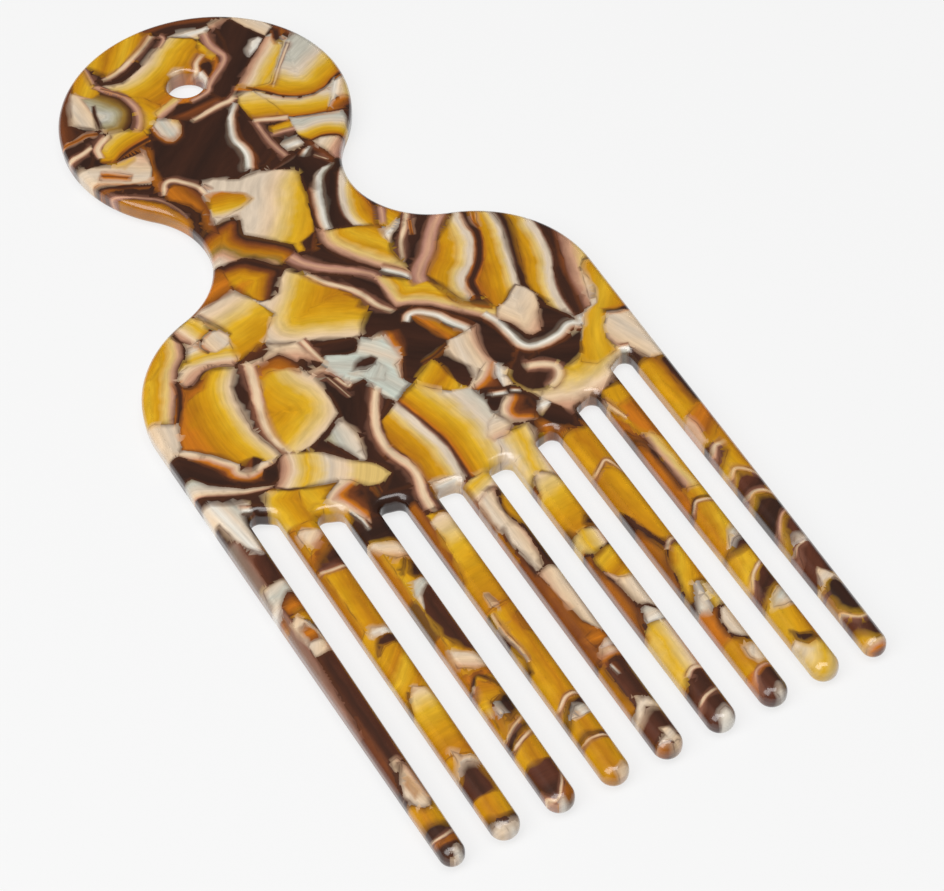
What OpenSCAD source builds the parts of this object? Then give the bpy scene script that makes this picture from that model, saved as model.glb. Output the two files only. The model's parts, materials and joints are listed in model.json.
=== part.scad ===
// Hair pick comb, cut from one flat sheet of mosaic cellulose acetate:
// a round handle with a hanging hole, a waisted neck, a shouldered plate
// and nine long teeth that draw slightly together towards their tips.
//
// The comb lies on its back face. X runs across the teeth, +Y points from
// the teeth to the handle and Z is the thickness. The origin is on the back
// face, under the middle of the outline. Lengths are millimetres.

/* [Sheet] */
// Thickness of the acetate sheet
sheet_t = 3.8; // [3:0.1:5]
// Overall length, from the tooth tips to the top of the handle
comb_l = 173; // [170:1:180]

/* [Handle] */
// Radius of the round handle
disc_r = 24.6; // [23.6:0.1:25.6]
// Radius of the hanging hole
hole_r = 3.25; // [2.5:0.05:4]
// Height of the hanging hole above the middle of the round handle
hole_rise = 7.7; // [0:0.1:14]

/* [Neck] */
// Width of the neck where it is narrowest
neck_w = 26.8; // [25:0.2:29]
// Radius of the hollow on each side of the neck
hollow_r = 15.1; // [14:0.1:17]

/* [Plate] */
// Width across the shoulders, where the plate is widest
plate_w = 75.8; // [75:0.2:78]
// Radius of each rounded shoulder
shoulder_r = 21; // [19:0.5:22]
// Inward lean of each long side towards the tips, in degrees
side_lean = 1.6; // [1:0.1:1.8]

/* [Teeth] */
// Distance between neighbouring teeth at their tips
tip_pitch = 8.5; // [8.3:0.05:8.6]
// Distance between neighbouring teeth at their roots
root_pitch = 8.73; // [8.6:0.01:8.8]
// Width of each slot at the tips
tip_gap = 4.15; // [3.6:0.05:4.4]
// Width of each slot at its root
root_gap = 3.95; // [3.4:0.05:4.2]
// Height of the arch of slot roots above the tips, at the middle of the comb
root_h = 56.3; // [45:0.1:60]
// Radius of the arch that the slot roots follow
arch_r = 56; // [50:1:80]
// Radius of the two corners at each slot's root
corner_r = 1.3; // [0.8:0.1:1.6]

/* [Hidden] */
TEETH = 9;
LAST = (TEETH - 1) / 2;       // number of the outermost tooth, the middle one being 0
$fn = 96;
arc_step = 360 / $fn;         // largest angle between two points of an arc
past = 4;                     // how far a cutting shape runs past what it cuts

// Centres of the arcs that make the outline, listed from the handle down.
// Each arc meets the next one tangentially.
disc_y = comb_l - disc_r;
hollow_x = neck_w / 2 + hollow_r;
hollow_y = disc_y - sqrt(pow(disc_r + hollow_r, 2) - pow(hollow_x, 2));
shoulder_x = plate_w / 2 - shoulder_r;
shoulder_y = hollow_y - sqrt(pow(hollow_r + shoulder_r, 2) - pow(hollow_x - shoulder_x, 2));
hole_y = disc_y + hole_rise;

// Points where those arcs meet, on the +X side.
neck_top_x = hollow_x * disc_r / (disc_r + hollow_r);
neck_top_y = disc_y + (hollow_y - disc_y) * disc_r / (disc_r + hollow_r);
neck_foot_x = hollow_x + (shoulder_x - hollow_x) * hollow_r / (hollow_r + shoulder_r);
neck_foot_y = hollow_y + (shoulder_y - hollow_y) * hollow_r / (hollow_r + shoulder_r);

// Point where the shoulder arc runs into the straight side.
side_top_x = shoulder_x + shoulder_r * cos(side_lean);
side_top_y = shoulder_y - shoulder_r * sin(side_lean);

// Distance of the straight side from the middle of the comb at height y.
function side_x(y) = side_top_x - (side_top_y - y) * tan(side_lean);

// Slots are numbered by half steps, -3.5 to 3.5, and teeth by whole ones.
// The root of slot k lies on the arch, which rises towards the sides.
function root_x(k) = k * root_pitch;
function arch_drop(k) = sqrt(pow(arch_r, 2) - pow(root_x(k), 2));
function root_y(k) = root_h + arch_r - arch_drop(k);
function root_slope(k) = root_x(k) / arch_drop(k);

// A straight edge is [x at the tips, slope dx/dy]. side is -1 for the -X wall
// of slot k and 1 for its +X wall.
function wall(k, side) =
    let (tip_x = k * tip_pitch + side * tip_gap / 2)
    [tip_x, (root_x(k) + side * root_gap / 2 - tip_x) / root_y(k)];
function at_height(edge, y) = [edge[0] + edge[1] * y, y];

// Unit vector square to a straight edge, towards +X, and its direction.
function across(edge) = [1, -edge[1]] / norm([1, edge[1]]);
function across_angle(edge) = -atan(edge[1]);

// Centre of the round corner at one side of slot k's root, tangent to the
// wall, and the point where the wall ends and that corner begins.
function corner(k, side) =
    let (
        edge = wall(k, side),
        y = root_y(k) - corner_r + side * root_slope(k) * (root_gap / 2 - corner_r)
    )
    at_height(edge, y) - [side * corner_r * norm([1, edge[1]]), 0];
function wall_end(k, side) = corner(k, side) + side * corner_r * across(wall(k, side));

// Points of an arc, from one direction round to another.
function arc(centre, r, from, to) =
    let (steps = ceil(abs(to - from) / arc_step))
    [for (n = [0:steps])
        let (turn = from + (to - from) * n / steps)
        centre + r * [cos(turn), sin(turn)]];

// The closed end of slot k, from the end of its +X wall to that of its -X wall.
function slot_end(k) =
    let (crown = 90 + atan(root_slope(k)))
    concat(
        arc(corner(k, 1), corner_r, across_angle(wall(k, 1)), crown),
        arc(corner(k, -1), corner_r, crown, 180 + across_angle(wall(k, -1)))
    );

// One shoulder, from the foot of the neck round to the straight side.
// side is -1 for the shoulder at -X and 1 for the one at +X.
function shoulder(side) =
    let (neck_turn = atan2(hollow_y - shoulder_y, hollow_x - shoulder_x))
    [for (p = arc([shoulder_x, shoulder_y], shoulder_r, neck_turn, -side_lean))
        [side * p[0], p[1]]];
function reversed(points) = [for (n = [len(points) - 1:-1:0]) points[n]];

// Both edges of tooth i, and the two points where it leaves the plate.
function left_edge(i) =
    i == -LAST ? [-side_x(0), -tan(side_lean)] : wall(i - 0.5, 1);
function right_edge(i) =
    i == LAST ? [side_x(0), tan(side_lean)] : wall(i + 0.5, -1);
function left_root(i) =
    i == -LAST ? at_height(left_edge(i), wall_end(i + 0.5, -1)[1]) : wall_end(i - 0.5, 1);
function right_root(i) =
    i == LAST ? at_height(right_edge(i), wall_end(i - 0.5, 1)[1]) : wall_end(i + 0.5, -1);

// Gives a flat outline the sheet's thickness, in the comb's own frame.
module sheet() {
    translate([0, -comb_l / 2, 0])
        linear_extrude(height = sheet_t)
            children();
}

// Round handle down to its tangent points with the neck, and its hanging hole.
module handle_disc() {
    top = comb_l + past;
    color("goldenrod")
        difference() {
            sheet()
                intersection() {
                    translate([0, disc_y])
                        circle(r = disc_r);
                    polygon([
                        [-comb_l, neck_top_y],
                        [comb_l, neck_top_y],
                        [comb_l, top],
                        [-comb_l, top]
                    ]);
                }
            translate([0, hole_y - comb_l / 2, -past])
                cylinder(r = hole_r, h = sheet_t + 2 * past);
        }
}

// Waist between the handle and the shoulders, hollowed on both sides.
module neck() {
    color("saddlebrown")
        sheet()
            difference() {
                polygon([
                    [-neck_top_x, neck_top_y],
                    [neck_top_x, neck_top_y],
                    [neck_foot_x, neck_foot_y],
                    [-neck_foot_x, neck_foot_y]
                ]);
                for (side = [-1, 1])
                    translate([side * hollow_x, hollow_y])
                        circle(r = hollow_r);
            }
}

// Shouldered plate down to the roots of the teeth.
module body_plate() {
    slots = [for (k = [LAST - 0.5:-1:0.5 - LAST]) each slot_end(k)];
    color("darkgoldenrod")
        sheet()
            polygon(concat(
                shoulder(1),
                [right_root(LAST)],
                slots,
                [left_root(-LAST)],
                reversed(shoulder(-1))
            ));
}

// Tooth i: two straight edges that run tangentially into a round tip.
module tooth(i, colour) {
    left = left_edge(i);
    right = right_edge(i);
    tip_r = (right[0] - left[0])
        / (norm([1, left[1]]) + norm([1, right[1]]) + left[1] - right[1]);
    tip = at_height(left, tip_r) + [tip_r * norm([1, left[1]]), 0];
    color(colour)
        sheet()
            polygon(concat(
                [left_root(i), right_root(i)],
                arc(tip, tip_r, across_angle(right), across_angle(left) - 180)
            ));
}

module tooth_1() { tooth(-4, "sienna"); }
module tooth_2() { tooth(-3, "goldenrod"); }
module tooth_3() { tooth(-2, "saddlebrown"); }
module tooth_4() { tooth(-1, "goldenrod"); }
module tooth_5() { tooth(0, "sienna"); }
module tooth_6() { tooth(1, "goldenrod"); }
module tooth_7() { tooth(2, "saddlebrown"); }
module tooth_8() { tooth(3, "goldenrod"); }
module tooth_9() { tooth(4, "sienna"); }

handle_disc();
neck();
body_plate();
tooth_1();
tooth_2();
tooth_3();
tooth_4();
tooth_5();
tooth_6();
tooth_7();
tooth_8();
tooth_9();
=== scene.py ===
"""Hair pick comb in polished mosaic acetate: the looks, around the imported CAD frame.

Plan coordinates are millimetres in the CAD frame: x across the teeth, y towards the handle.
They become metres when a mesh is made.
"""

import json
import math

import bpy
import numpy as np
from mathutils import Matrix, Vector, geometry, noise

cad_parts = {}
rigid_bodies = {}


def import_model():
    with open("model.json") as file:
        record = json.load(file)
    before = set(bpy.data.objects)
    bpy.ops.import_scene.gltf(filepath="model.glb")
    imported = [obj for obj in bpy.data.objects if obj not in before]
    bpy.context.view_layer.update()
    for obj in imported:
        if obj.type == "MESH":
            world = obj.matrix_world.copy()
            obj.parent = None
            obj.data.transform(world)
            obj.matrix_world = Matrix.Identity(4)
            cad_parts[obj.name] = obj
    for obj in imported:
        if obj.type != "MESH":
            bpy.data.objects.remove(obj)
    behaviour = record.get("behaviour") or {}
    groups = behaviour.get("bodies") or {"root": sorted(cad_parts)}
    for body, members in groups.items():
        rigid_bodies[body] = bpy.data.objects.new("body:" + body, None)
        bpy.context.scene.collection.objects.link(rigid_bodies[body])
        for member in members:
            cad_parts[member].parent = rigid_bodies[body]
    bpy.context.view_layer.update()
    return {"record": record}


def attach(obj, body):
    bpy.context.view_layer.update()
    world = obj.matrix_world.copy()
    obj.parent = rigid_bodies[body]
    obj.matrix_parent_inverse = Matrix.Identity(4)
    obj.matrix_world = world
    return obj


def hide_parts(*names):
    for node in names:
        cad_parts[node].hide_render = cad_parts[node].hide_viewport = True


# The start-up scene's cube, light and camera aren't wanted.
for leftover in list(bpy.data.objects):
    bpy.data.objects.remove(leftover)
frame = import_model()

MM = 0.001

# ---------------------------------------------------------------- sizes
mounts = {m["name"]: m for m in frame["record"]["mounts"]}
HOLE_Y = mounts["hanging_hole"]["pos_m"][1] / MM
HOLE_R = mounts["hanging_hole"]["dims"]["r_mm"]
THICK = mounts["hanging_hole"]["dims"]["length_mm"]

COMB_L, DISC_R, HOLE_RISE = 173.0, 24.6, 7.7
NECK_W, HOLLOW_R = 26.8, 15.1
PLATE_W, SHOULDER_R, SIDE_LEAN = 75.8, 21.0, math.radians(1.6)
TIP_PITCH, ROOT_PITCH = 8.5, 8.73
TIP_GAP, ROOT_GAP = 4.15, 3.95
ROOT_H, ARCH_R, CORNER_R = 56.3, 56.0, 1.3
LAST = 4                        # number of the outermost tooth, the middle one being 0

EDGE_R = 1.3                    # polished rounding of the outline's edges
TIP_EDGE_R = 1.7                # the same at the tooth tips
RIM_R = 0.8                     # and round the hanging hole
RINGS = 7                       # steps of each rounding
PLAN_RINGS = 5                  # how many of them are triangulated together with the flat face
STEP = 0.7                      # longest mesh edge along the outline and round each chip
ARC_STEP = 9.0                  # largest turn between two points of an arc, in degrees
SPACING = 0.85                  # distance between the mesh points inside a chip
ROW = 0.87                      # distance between their rows, as a share of that
SHORT = 0.25                    # an edge no longer than this isn't divided
FAR = 2.0                       # distance from a chip's border past which it is of no account
CELL = 5.0                      # size of the squares that points are searched in
SHEAR = np.array([0.55, -0.35])  # how far the layers lean, per mm of depth

TIP_Y = -COMB_L / 2
DISC_Y = HOLE_Y - HOLE_RISE
HOLLOW_X = NECK_W / 2 + HOLLOW_R
HOLLOW_Y = DISC_Y - math.sqrt((DISC_R + HOLLOW_R) ** 2 - HOLLOW_X ** 2)
SHOULDER_X = PLATE_W / 2 - SHOULDER_R
SHOULDER_Y = HOLLOW_Y - math.sqrt((HOLLOW_R + SHOULDER_R) ** 2 - (HOLLOW_X - SHOULDER_X) ** 2)


# ---------------------------------------------------------------- outline, as in the CAD
def side_edge(side):
    """The straight side of the comb as (x at the tips, slope dx/dy)."""
    slope = math.tan(SIDE_LEAN)
    top_x = SHOULDER_X + SHOULDER_R * math.cos(SIDE_LEAN)
    top_y = SHOULDER_Y - SHOULDER_R * math.sin(SIDE_LEAN)
    return side * (top_x - (top_y - TIP_Y) * slope), side * slope


def arch(k):
    """Height of slot k's root above the tips, and the arch's slope there."""
    x = k * ROOT_PITCH
    drop = math.sqrt(ARCH_R ** 2 - x ** 2)
    return ROOT_H + ARCH_R - drop, x / drop


def wall(k, side):
    """One wall of slot k as (x at the tips, slope dx/dy). side is -1 or 1."""
    tip_x = k * TIP_PITCH + side * TIP_GAP / 2
    return tip_x, (k * ROOT_PITCH + side * ROOT_GAP / 2 - tip_x) / arch(k)[0]


def on_edge(edge, y):
    """The point of a straight edge at height y."""
    return np.array([edge[0] + edge[1] * (y - TIP_Y), y])


def across(edge):
    """Unit vector square to a straight edge, towards +X."""
    return np.array([1.0, -edge[1]]) / math.hypot(1.0, edge[1])


def corner(k, side):
    """Centre of the round corner at one side of slot k's root."""
    height, slope = arch(k)
    y = TIP_Y + height - CORNER_R + side * slope * (ROOT_GAP / 2 - CORNER_R)
    edge = wall(k, side)
    return on_edge(edge, y) - np.array([side * CORNER_R * math.hypot(1.0, edge[1]), 0.0])


def wall_end(k, side):
    """The point where a wall of slot k ends and its round corner begins."""
    return corner(k, side) + side * CORNER_R * across(wall(k, side))


def angle_of(v):
    """Direction of a vector, in radians from +X."""
    return math.atan2(v[1], v[0])


class Path:
    """A stretch of outline: points, outward normals and edge radii, clockwise round the comb."""

    def __init__(self):
        self.points, self.normals, self.radii = [], [], []

    def add(self, point, normal, radius):
        """Adds a point, unless the last one is in the same place."""
        if self.points and np.linalg.norm(point - self.points[-1]) < 1e-6:
            return
        self.points.append(np.array(point, float))
        self.normals.append(np.array(normal, float))
        self.radii.append(radius)

    def arc(self, centre, r, start, end, inwards=False, radius=None):
        """Adds an arc. inwards is for a hollow, whose material lies outside the circle."""
        turn = abs(end - start)
        steps = max(2, math.ceil(turn * r / STEP), math.ceil(math.degrees(turn) / ARC_STEP))
        for n in range(steps + 1):
            a = start + (end - start) * n / steps
            d = np.array([math.cos(a), math.sin(a)])
            p = centre + r * d
            self.add(p, -d if inwards else d, radius or edge_radius(p[1]))
        return self

    def line(self, start, end, normal):
        """Adds a straight stretch."""
        steps = max(1, math.ceil(np.linalg.norm(end - start) / STEP))
        for n in range(steps + 1):
            p = start + (end - start) * n / steps
            self.add(p, normal, edge_radius(p[1]))
        return self

    def mirrored(self):
        """The same stretch on the other side of the comb."""
        other = Path()
        flip = np.array([-1.0, 1.0])
        for p, n, r in zip(self.points[::-1], self.normals[::-1], self.radii[::-1]):
            other.add(p * flip, n * flip, r)
        return other


def edge_radius(y):
    """The rounding grows from the roots of the teeth to their tips."""
    share = min(1.0, max(0.0, 1.0 - (y - TIP_Y) / ROOT_H))
    return EDGE_R + (TIP_EDGE_R - EDGE_R) * share ** 2


def tooth_edges(i):
    """The two long edges of tooth i."""
    left = side_edge(-1) if i == -LAST else wall(i - 0.5, 1)
    right = side_edge(1) if i == LAST else wall(i + 0.5, -1)
    return left, right


def tooth_roots(i):
    """The two points where tooth i leaves the plate."""
    left, right = tooth_edges(i)
    left_end = on_edge(left, wall_end(i + 0.5, -1)[1]) if i == -LAST else wall_end(i - 0.5, 1)
    right_end = on_edge(right, wall_end(i - 0.5, 1)[1]) if i == LAST else wall_end(i + 0.5, -1)
    return left_end, right_end


def tooth_path(i):
    """Tooth i, from its right root round the tip to its left root."""
    left, right = tooth_edges(i)
    left_end, right_end = tooth_roots(i)
    left_lean, right_lean = math.hypot(1, left[1]), math.hypot(1, right[1])
    r = (right[0] - left[0]) / (left_lean + right_lean + left[1] - right[1])
    tip = on_edge(left, TIP_Y + r) + np.array([r * left_lean, 0.0])
    path = Path().line(right_end, tip + r * across(right), across(right))
    path.arc(tip, r, angle_of(across(right)), angle_of(across(left)) - math.pi)
    return path.line(tip - r * across(left), left_end, -across(left))


def slot_path(k):
    """The closed end of slot k, from its +X wall to its -X wall."""
    crown = math.pi / 2 + math.atan(arch(k)[1])
    start = angle_of(across(wall(k, 1)))
    end = math.pi + angle_of(across(wall(k, -1)))
    path = Path().arc(corner(k, 1), CORNER_R, start, crown, inwards=True)
    step = CORNER_R * np.array([math.cos(crown), math.sin(crown)])
    path.line(corner(k, 1) + step, corner(k, -1) + step, -step / CORNER_R)
    return path.arc(corner(k, -1), CORNER_R, crown, end, inwards=True)


def piece_outlines():
    """Each piece's stretches of outline, clockwise. Straight seams join them."""
    disc = np.array([0.0, DISC_Y])
    hollow = np.array([HOLLOW_X, HOLLOW_Y])
    shoulder = np.array([SHOULDER_X, SHOULDER_Y])
    neck_top = angle_of(hollow - disc)
    neck_foot = angle_of(shoulder - hollow) + 2 * math.pi
    shoulder_top = angle_of(hollow - shoulder)

    rim = Path().arc(disc, DISC_R, math.pi - neck_top, neck_top)
    waist = Path().arc(hollow, HOLLOW_R, neck_top + math.pi, neck_foot, inwards=True)
    flank = Path().arc(shoulder, SHOULDER_R, shoulder_top, -SIDE_LEAN)
    side_top = shoulder + SHOULDER_R * across(side_edge(1))
    flank.line(side_top, tooth_roots(LAST)[1], across(side_edge(1)))

    slots = [slot_path(k - 0.5) for k in range(LAST, -LAST, -1)]
    pieces = {
        "handle_disc": [rim],
        "neck": [waist, waist.mirrored()],
        "body_plate": [flank, *slots, flank.mirrored()],
    }
    for i in range(-LAST, LAST + 1):
        pieces[f"tooth_{i + LAST + 1}"] = [tooth_path(i)]
    return pieces


# ---------------------------------------------------------------- the mosaic
# The sheet was pressed from chips of striped acetate. Colours are 0 to 255 display values.
PALETTE = {
    "black": (44, 24, 15),
    "dark": (58, 31, 19),
    "cocoa": (84, 44, 28),
    "rust": (112, 58, 24),
    "burnt": (146, 82, 14),
    "umber": (104, 68, 24),
    "olive": (140, 108, 44),
    "orange": (188, 108, 18),
    "deep": (174, 112, 6),
    "amber": (196, 140, 8),
    "yellow": (208, 162, 32),
    "straw": (212, 180, 108),
    "cream": (218, 190, 156),
    "white": (224, 218, 206),
    "pearl": (208, 190, 168),
    "silver": (184, 180, 166),
    "sage": (160, 150, 118),
    "mint": (190, 196, 184),
    "tan": (196, 150, 120),
    "pink": (172, 124, 106),
    "mauve": (138, 94, 76),
    "slate": (124, 114, 100),
}
# Each kind of chip is a stack of stripes: (mm to the left of the chip's line, colour).
KINDS = {
    "amber": [(-0.3, "dark"), (0.05, "rust"), (0.4, "orange"), (0.9, "deep"), (2.2, "amber"),
              (4.2, "yellow"), (6.0, "straw"), (8.0, "pearl"), (11.0, "silver")],
    "fan": [(-1.0, "pearl"), (0.3, "cream"), (1.6, "straw"), (2.8, "yellow"), (4.6, "amber"),
            (7.5, "deep"), (10.0, "orange")],
    "honey": [(-4.0, "deep"), (-2.2, "amber"), (-0.6, "yellow"), (1.0, "amber"), (2.6, "deep"),
              (4.0, "amber"), (6.0, "yellow"), (8.0, "deep"), (10.0, "amber")],
    "pearl": [(-0.2, "dark"), (0.05, "mauve"), (0.3, "tan"), (0.9, "cream"), (2.0, "pearl"),
              (4.5, "silver"), (6.5, "sage"), (9.0, "pearl")],
    "cloud": [(-4.0, "straw"), (-2.0, "cream"), (0.0, "white"), (1.5, "pearl"), (3.0, "silver"),
              (4.5, "pearl"), (6.5, "straw"), (9.0, "cream")],
    "frost": [(-5.0, "pearl"), (-2.5, "mint"), (0.0, "silver"), (2.5, "mint"), (5.0, "pearl"),
              (8.0, "mint")],
    "blush": [(-2.0, "pink"), (0.0, "tan"), (1.5, "cream"), (3.5, "pearl"), (5.5, "cream"),
              (8.0, "tan")],
    "olive": [(-0.2, "dark"), (0.5, "umber"), (1.4, "olive"), (2.6, "sage"), (3.8, "silver"),
              (5.6, "pearl"), (7.5, "tan"), (8.6, "mauve")],
    "burnt": [(-0.3, "dark"), (0.2, "rust"), (1.0, "burnt"), (2.5, "orange"), (4.5, "burnt"),
              (7.0, "rust")],
    "dark": [(-4.0, "dark"), (-1.5, "black"), (0.5, "dark"), (3.5, "black"), (6.0, "dark"),
             (9.0, "black")],
    "ruddy": [(-3.0, "dark"), (0.0, "rust"), (0.8, "dark"), (4.0, "black")],
    "bronze": [(-1.0, "burnt"), (-0.3, "umber"), (0.7, "dark"), (1.3, "rust"), (2.0, "burnt"),
               (3.0, "deep"), (4.2, "olive"), (5.4, "tan"), (7.0, "pearl")],
    "ingot": [(-0.3, "dark"), (1.0, "dark"), (1.8, "rust"), (2.8, "deep"), (4.4, "amber"),
              (6.2, "orange"), (8.0, "tan")],
    "gilt": [(-0.2, "dark"), (0.15, "mauve"), (0.6, "pearl"), (1.3, "pearl"), (2.2, "straw"),
             (3.4, "amber"), (5.6, "deep"), (8.4, "burnt"), (10.5, "umber")],
    "shell": [(-0.2, "dark"), (0.1, "mauve"), (0.9, "tan"), (1.8, "straw"), (3.2, "amber"),
              (4.6, "yellow"), (6.2, "amber"), (8.0, "burnt"), (10.0, "umber")],
    "swell": [(-0.5, "mauve"), (0.6, "tan"), (1.6, "cream"), (2.6, "straw"), (3.8, "yellow"),
              (5.2, "straw"), (6.6, "pearl"), (9.0, "cream"), (11.0, "straw")],
    "glow": [(-0.5, "pearl"), (0.5, "cream"), (1.2, "tan"), (1.8, "orange"), (2.6, "rust"),
             (4.2, "dark")],
    "umber": [(-1.0, "umber"), (1.0, "umber"), (2.5, "burnt")],
    "orange": [(-1.0, "orange"), (0.0, "deep"), (1.5, "burnt"), (3.0, "orange")],
    "cocoa": [(-1.0, "cocoa"), (0.1, "rust"), (0.6, "cocoa"), (2.0, "dark"), (4.0, "cocoa")],
    "smoke": [(-2.0, "umber"), (0.0, "mauve"), (2.0, "slate"), (4.0, "mauve")],
    # The last kinds are for bands and are measured from their middle, in half widths.
    "stripe": [(-1.0, "mauve"), (-0.6, "tan"), (-0.1, "cream"), (0.4, "cream"), (0.8, "tan"),
               (1.0, "mauve")],
    "flesh": [(-1.0, "mauve"), (-0.5, "pink"), (0.1, "tan"), (0.6, "pink"), (1.0, "mauve")],
    "ember": [(-1.0, "tan"), (-0.45, "orange"), (0.0, "rust"), (0.45, "orange"), (1.0, "tan")],
    "brown": [(-1.0, "orange"), (-0.7, "rust"), (-0.3, "dark"), (0.3, "dark"), (0.7, "rust"),
              (1.0, "orange")],
    "ice": [(-1.0, "slate"), (-0.75, "silver"), (-0.3, "white"), (0.15, "pearl"), (0.6, "tan"),
            (1.0, "rust")],
}
KIND_NAMES = list(KINDS)
LINE_REACH = 60.0       # how far a chip's line runs on past its ends
CURVE_STEPS = 8         # points for each span of a smooth curve
RAGGED_BY = 0.16        # how far chip borders stray, in mm
RAGGED_OVER = 1.1       # distance over which they do, in mm


def chip(kind, corners, line, scale=1.0):
    """A chip with straight sides. scale stretches its stripes."""
    return {"kind": KIND_NAMES.index(kind), "loop": chip_loop(corners),
            "line": smooth_line(line), "scale": scale, "middle": None}


def band(kind, line, width, end_width=None):
    """A curved strip of the given width, drawn along its middle line."""
    curve = smooth_line(line)[1:-1]
    turn = np.gradient(curve, axis=0)
    turn /= np.linalg.norm(turn, axis=1)[:, None]
    square = np.stack([-turn[:, 1], turn[:, 0]], axis=1)
    half = np.linspace(width, width if end_width is None else end_width, len(curve)) / 2
    sides = [curve + square * half[:, None], curve - square * half[:, None]]
    return {"kind": KIND_NAMES.index(kind), "loop": ragged(np.vstack([sides[0], sides[1][::-1]])),
            "line": smooth_line(line), "scale": half.mean(), "middle": curve[1:-1]}


def smooth_line(points):
    """A smooth curve through the points, run on straight at both ends."""
    p = np.array(points, float)
    p = np.vstack([2 * p[0] - p[1], p, 2 * p[-1] - p[-2]])
    curve = []
    for a, b, c, d in zip(p[:-3], p[1:-2], p[2:-1], p[3:]):
        t = np.linspace(0, 1, CURVE_STEPS + 1)[:-1, None]
        curve.append(0.5 * (2 * b + (c - a) * t + (2 * a - 5 * b + 4 * c - d) * t ** 2
                            + (3 * b - a - 3 * c + d) * t ** 3))
    curve = np.vstack(curve + [p[-2:-1]])
    first = (curve[0] - curve[1]) / np.linalg.norm(curve[0] - curve[1])
    last = (curve[-1] - curve[-2]) / np.linalg.norm(curve[-1] - curve[-2])
    return np.vstack([curve[0] + LINE_REACH * first, curve, curve[-1] + LINE_REACH * last])


def layers_at(points, line):
    """Signed distance of each point from a line, and how far along it that is."""
    a, b = line[:-1], line[1:]
    step = b - a
    length = np.linalg.norm(step, axis=1)
    run = np.concatenate([[0.0], np.cumsum(length)])
    best = np.full(len(points), 1e9)
    signed = np.zeros(len(points))
    along = np.zeros(len(points))
    for n in range(len(a)):
        d = points - a[n]
        t = np.clip(d @ step[n] / length[n] ** 2, 0.0, 1.0)
        gap = np.linalg.norm(d - t[:, None] * step[n], axis=1)
        side = np.sign(step[n][0] * d[:, 1] - step[n][1] * d[:, 0])
        near = gap < best - 1e-9
        best[near] = gap[near]
        signed[near] = (side * gap)[near]
        along[near] = (run[n] + t * length[n])[near]
    return signed, along


def inside(points, loop):
    """True for each point inside the closed loop."""
    x, y = points[:, 0], points[:, 1]
    hit = np.zeros(len(points), bool)
    for (x1, y1), (x2, y2) in zip(loop, np.roll(loop, -1, axis=0)):
        if y1 == y2:
            continue
        cross = (y1 > y) != (y2 > y)
        hit ^= cross & (x < x1 + (y - y1) * (x2 - x1) / (y2 - y1))
    return hit


def ragged(points):
    """Shifts points a little, as chip borders are never quite straight."""
    level, apart = 3.7, Vector((9.1, 4.3, 0))       # places in the noise for x and for y
    out = []
    for x, y in points:
        p = Vector((x / RAGGED_OVER, y / RAGGED_OVER, level))
        shift_x, shift_y = noise.noise(p), noise.noise(p + apart)
        out.append((x + RAGGED_BY * shift_x, y + RAGGED_BY * shift_y))
    return np.array(out)


def chip_loop(corners):
    """A chip's outline with a point every step, slightly ragged."""
    loop = []
    for a, b in zip(corners, list(corners[1:]) + [corners[0]]):
        a, b = np.array(a, float), np.array(b, float)
        steps = max(1, math.ceil(np.linalg.norm(b - a) / STEP))
        loop += [a + (b - a) * n / steps for n in range(steps)]
    return ragged(loop)


def patch(kind, corners, turn, scale=1.0):
    """A chip whose stripes run in one direction, turn degrees from +X, from its right edge."""
    way = np.array([math.cos(math.radians(turn)), math.sin(math.radians(turn))])
    start = min(np.array(corners, float), key=lambda c: way[0] * c[1] - way[1] * c[0])
    return chip(kind, corners, [start - way, start + way], scale)


# The chips of each part of the comb, in plan. Later ones cover earlier ones, and the first is
# the ground below them all.
chips = [
    chip("dark", [(-45, -95), (45, -95), (45, 95), (-45, 95)], [(-40, 0), (40, 10)]),
]

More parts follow.
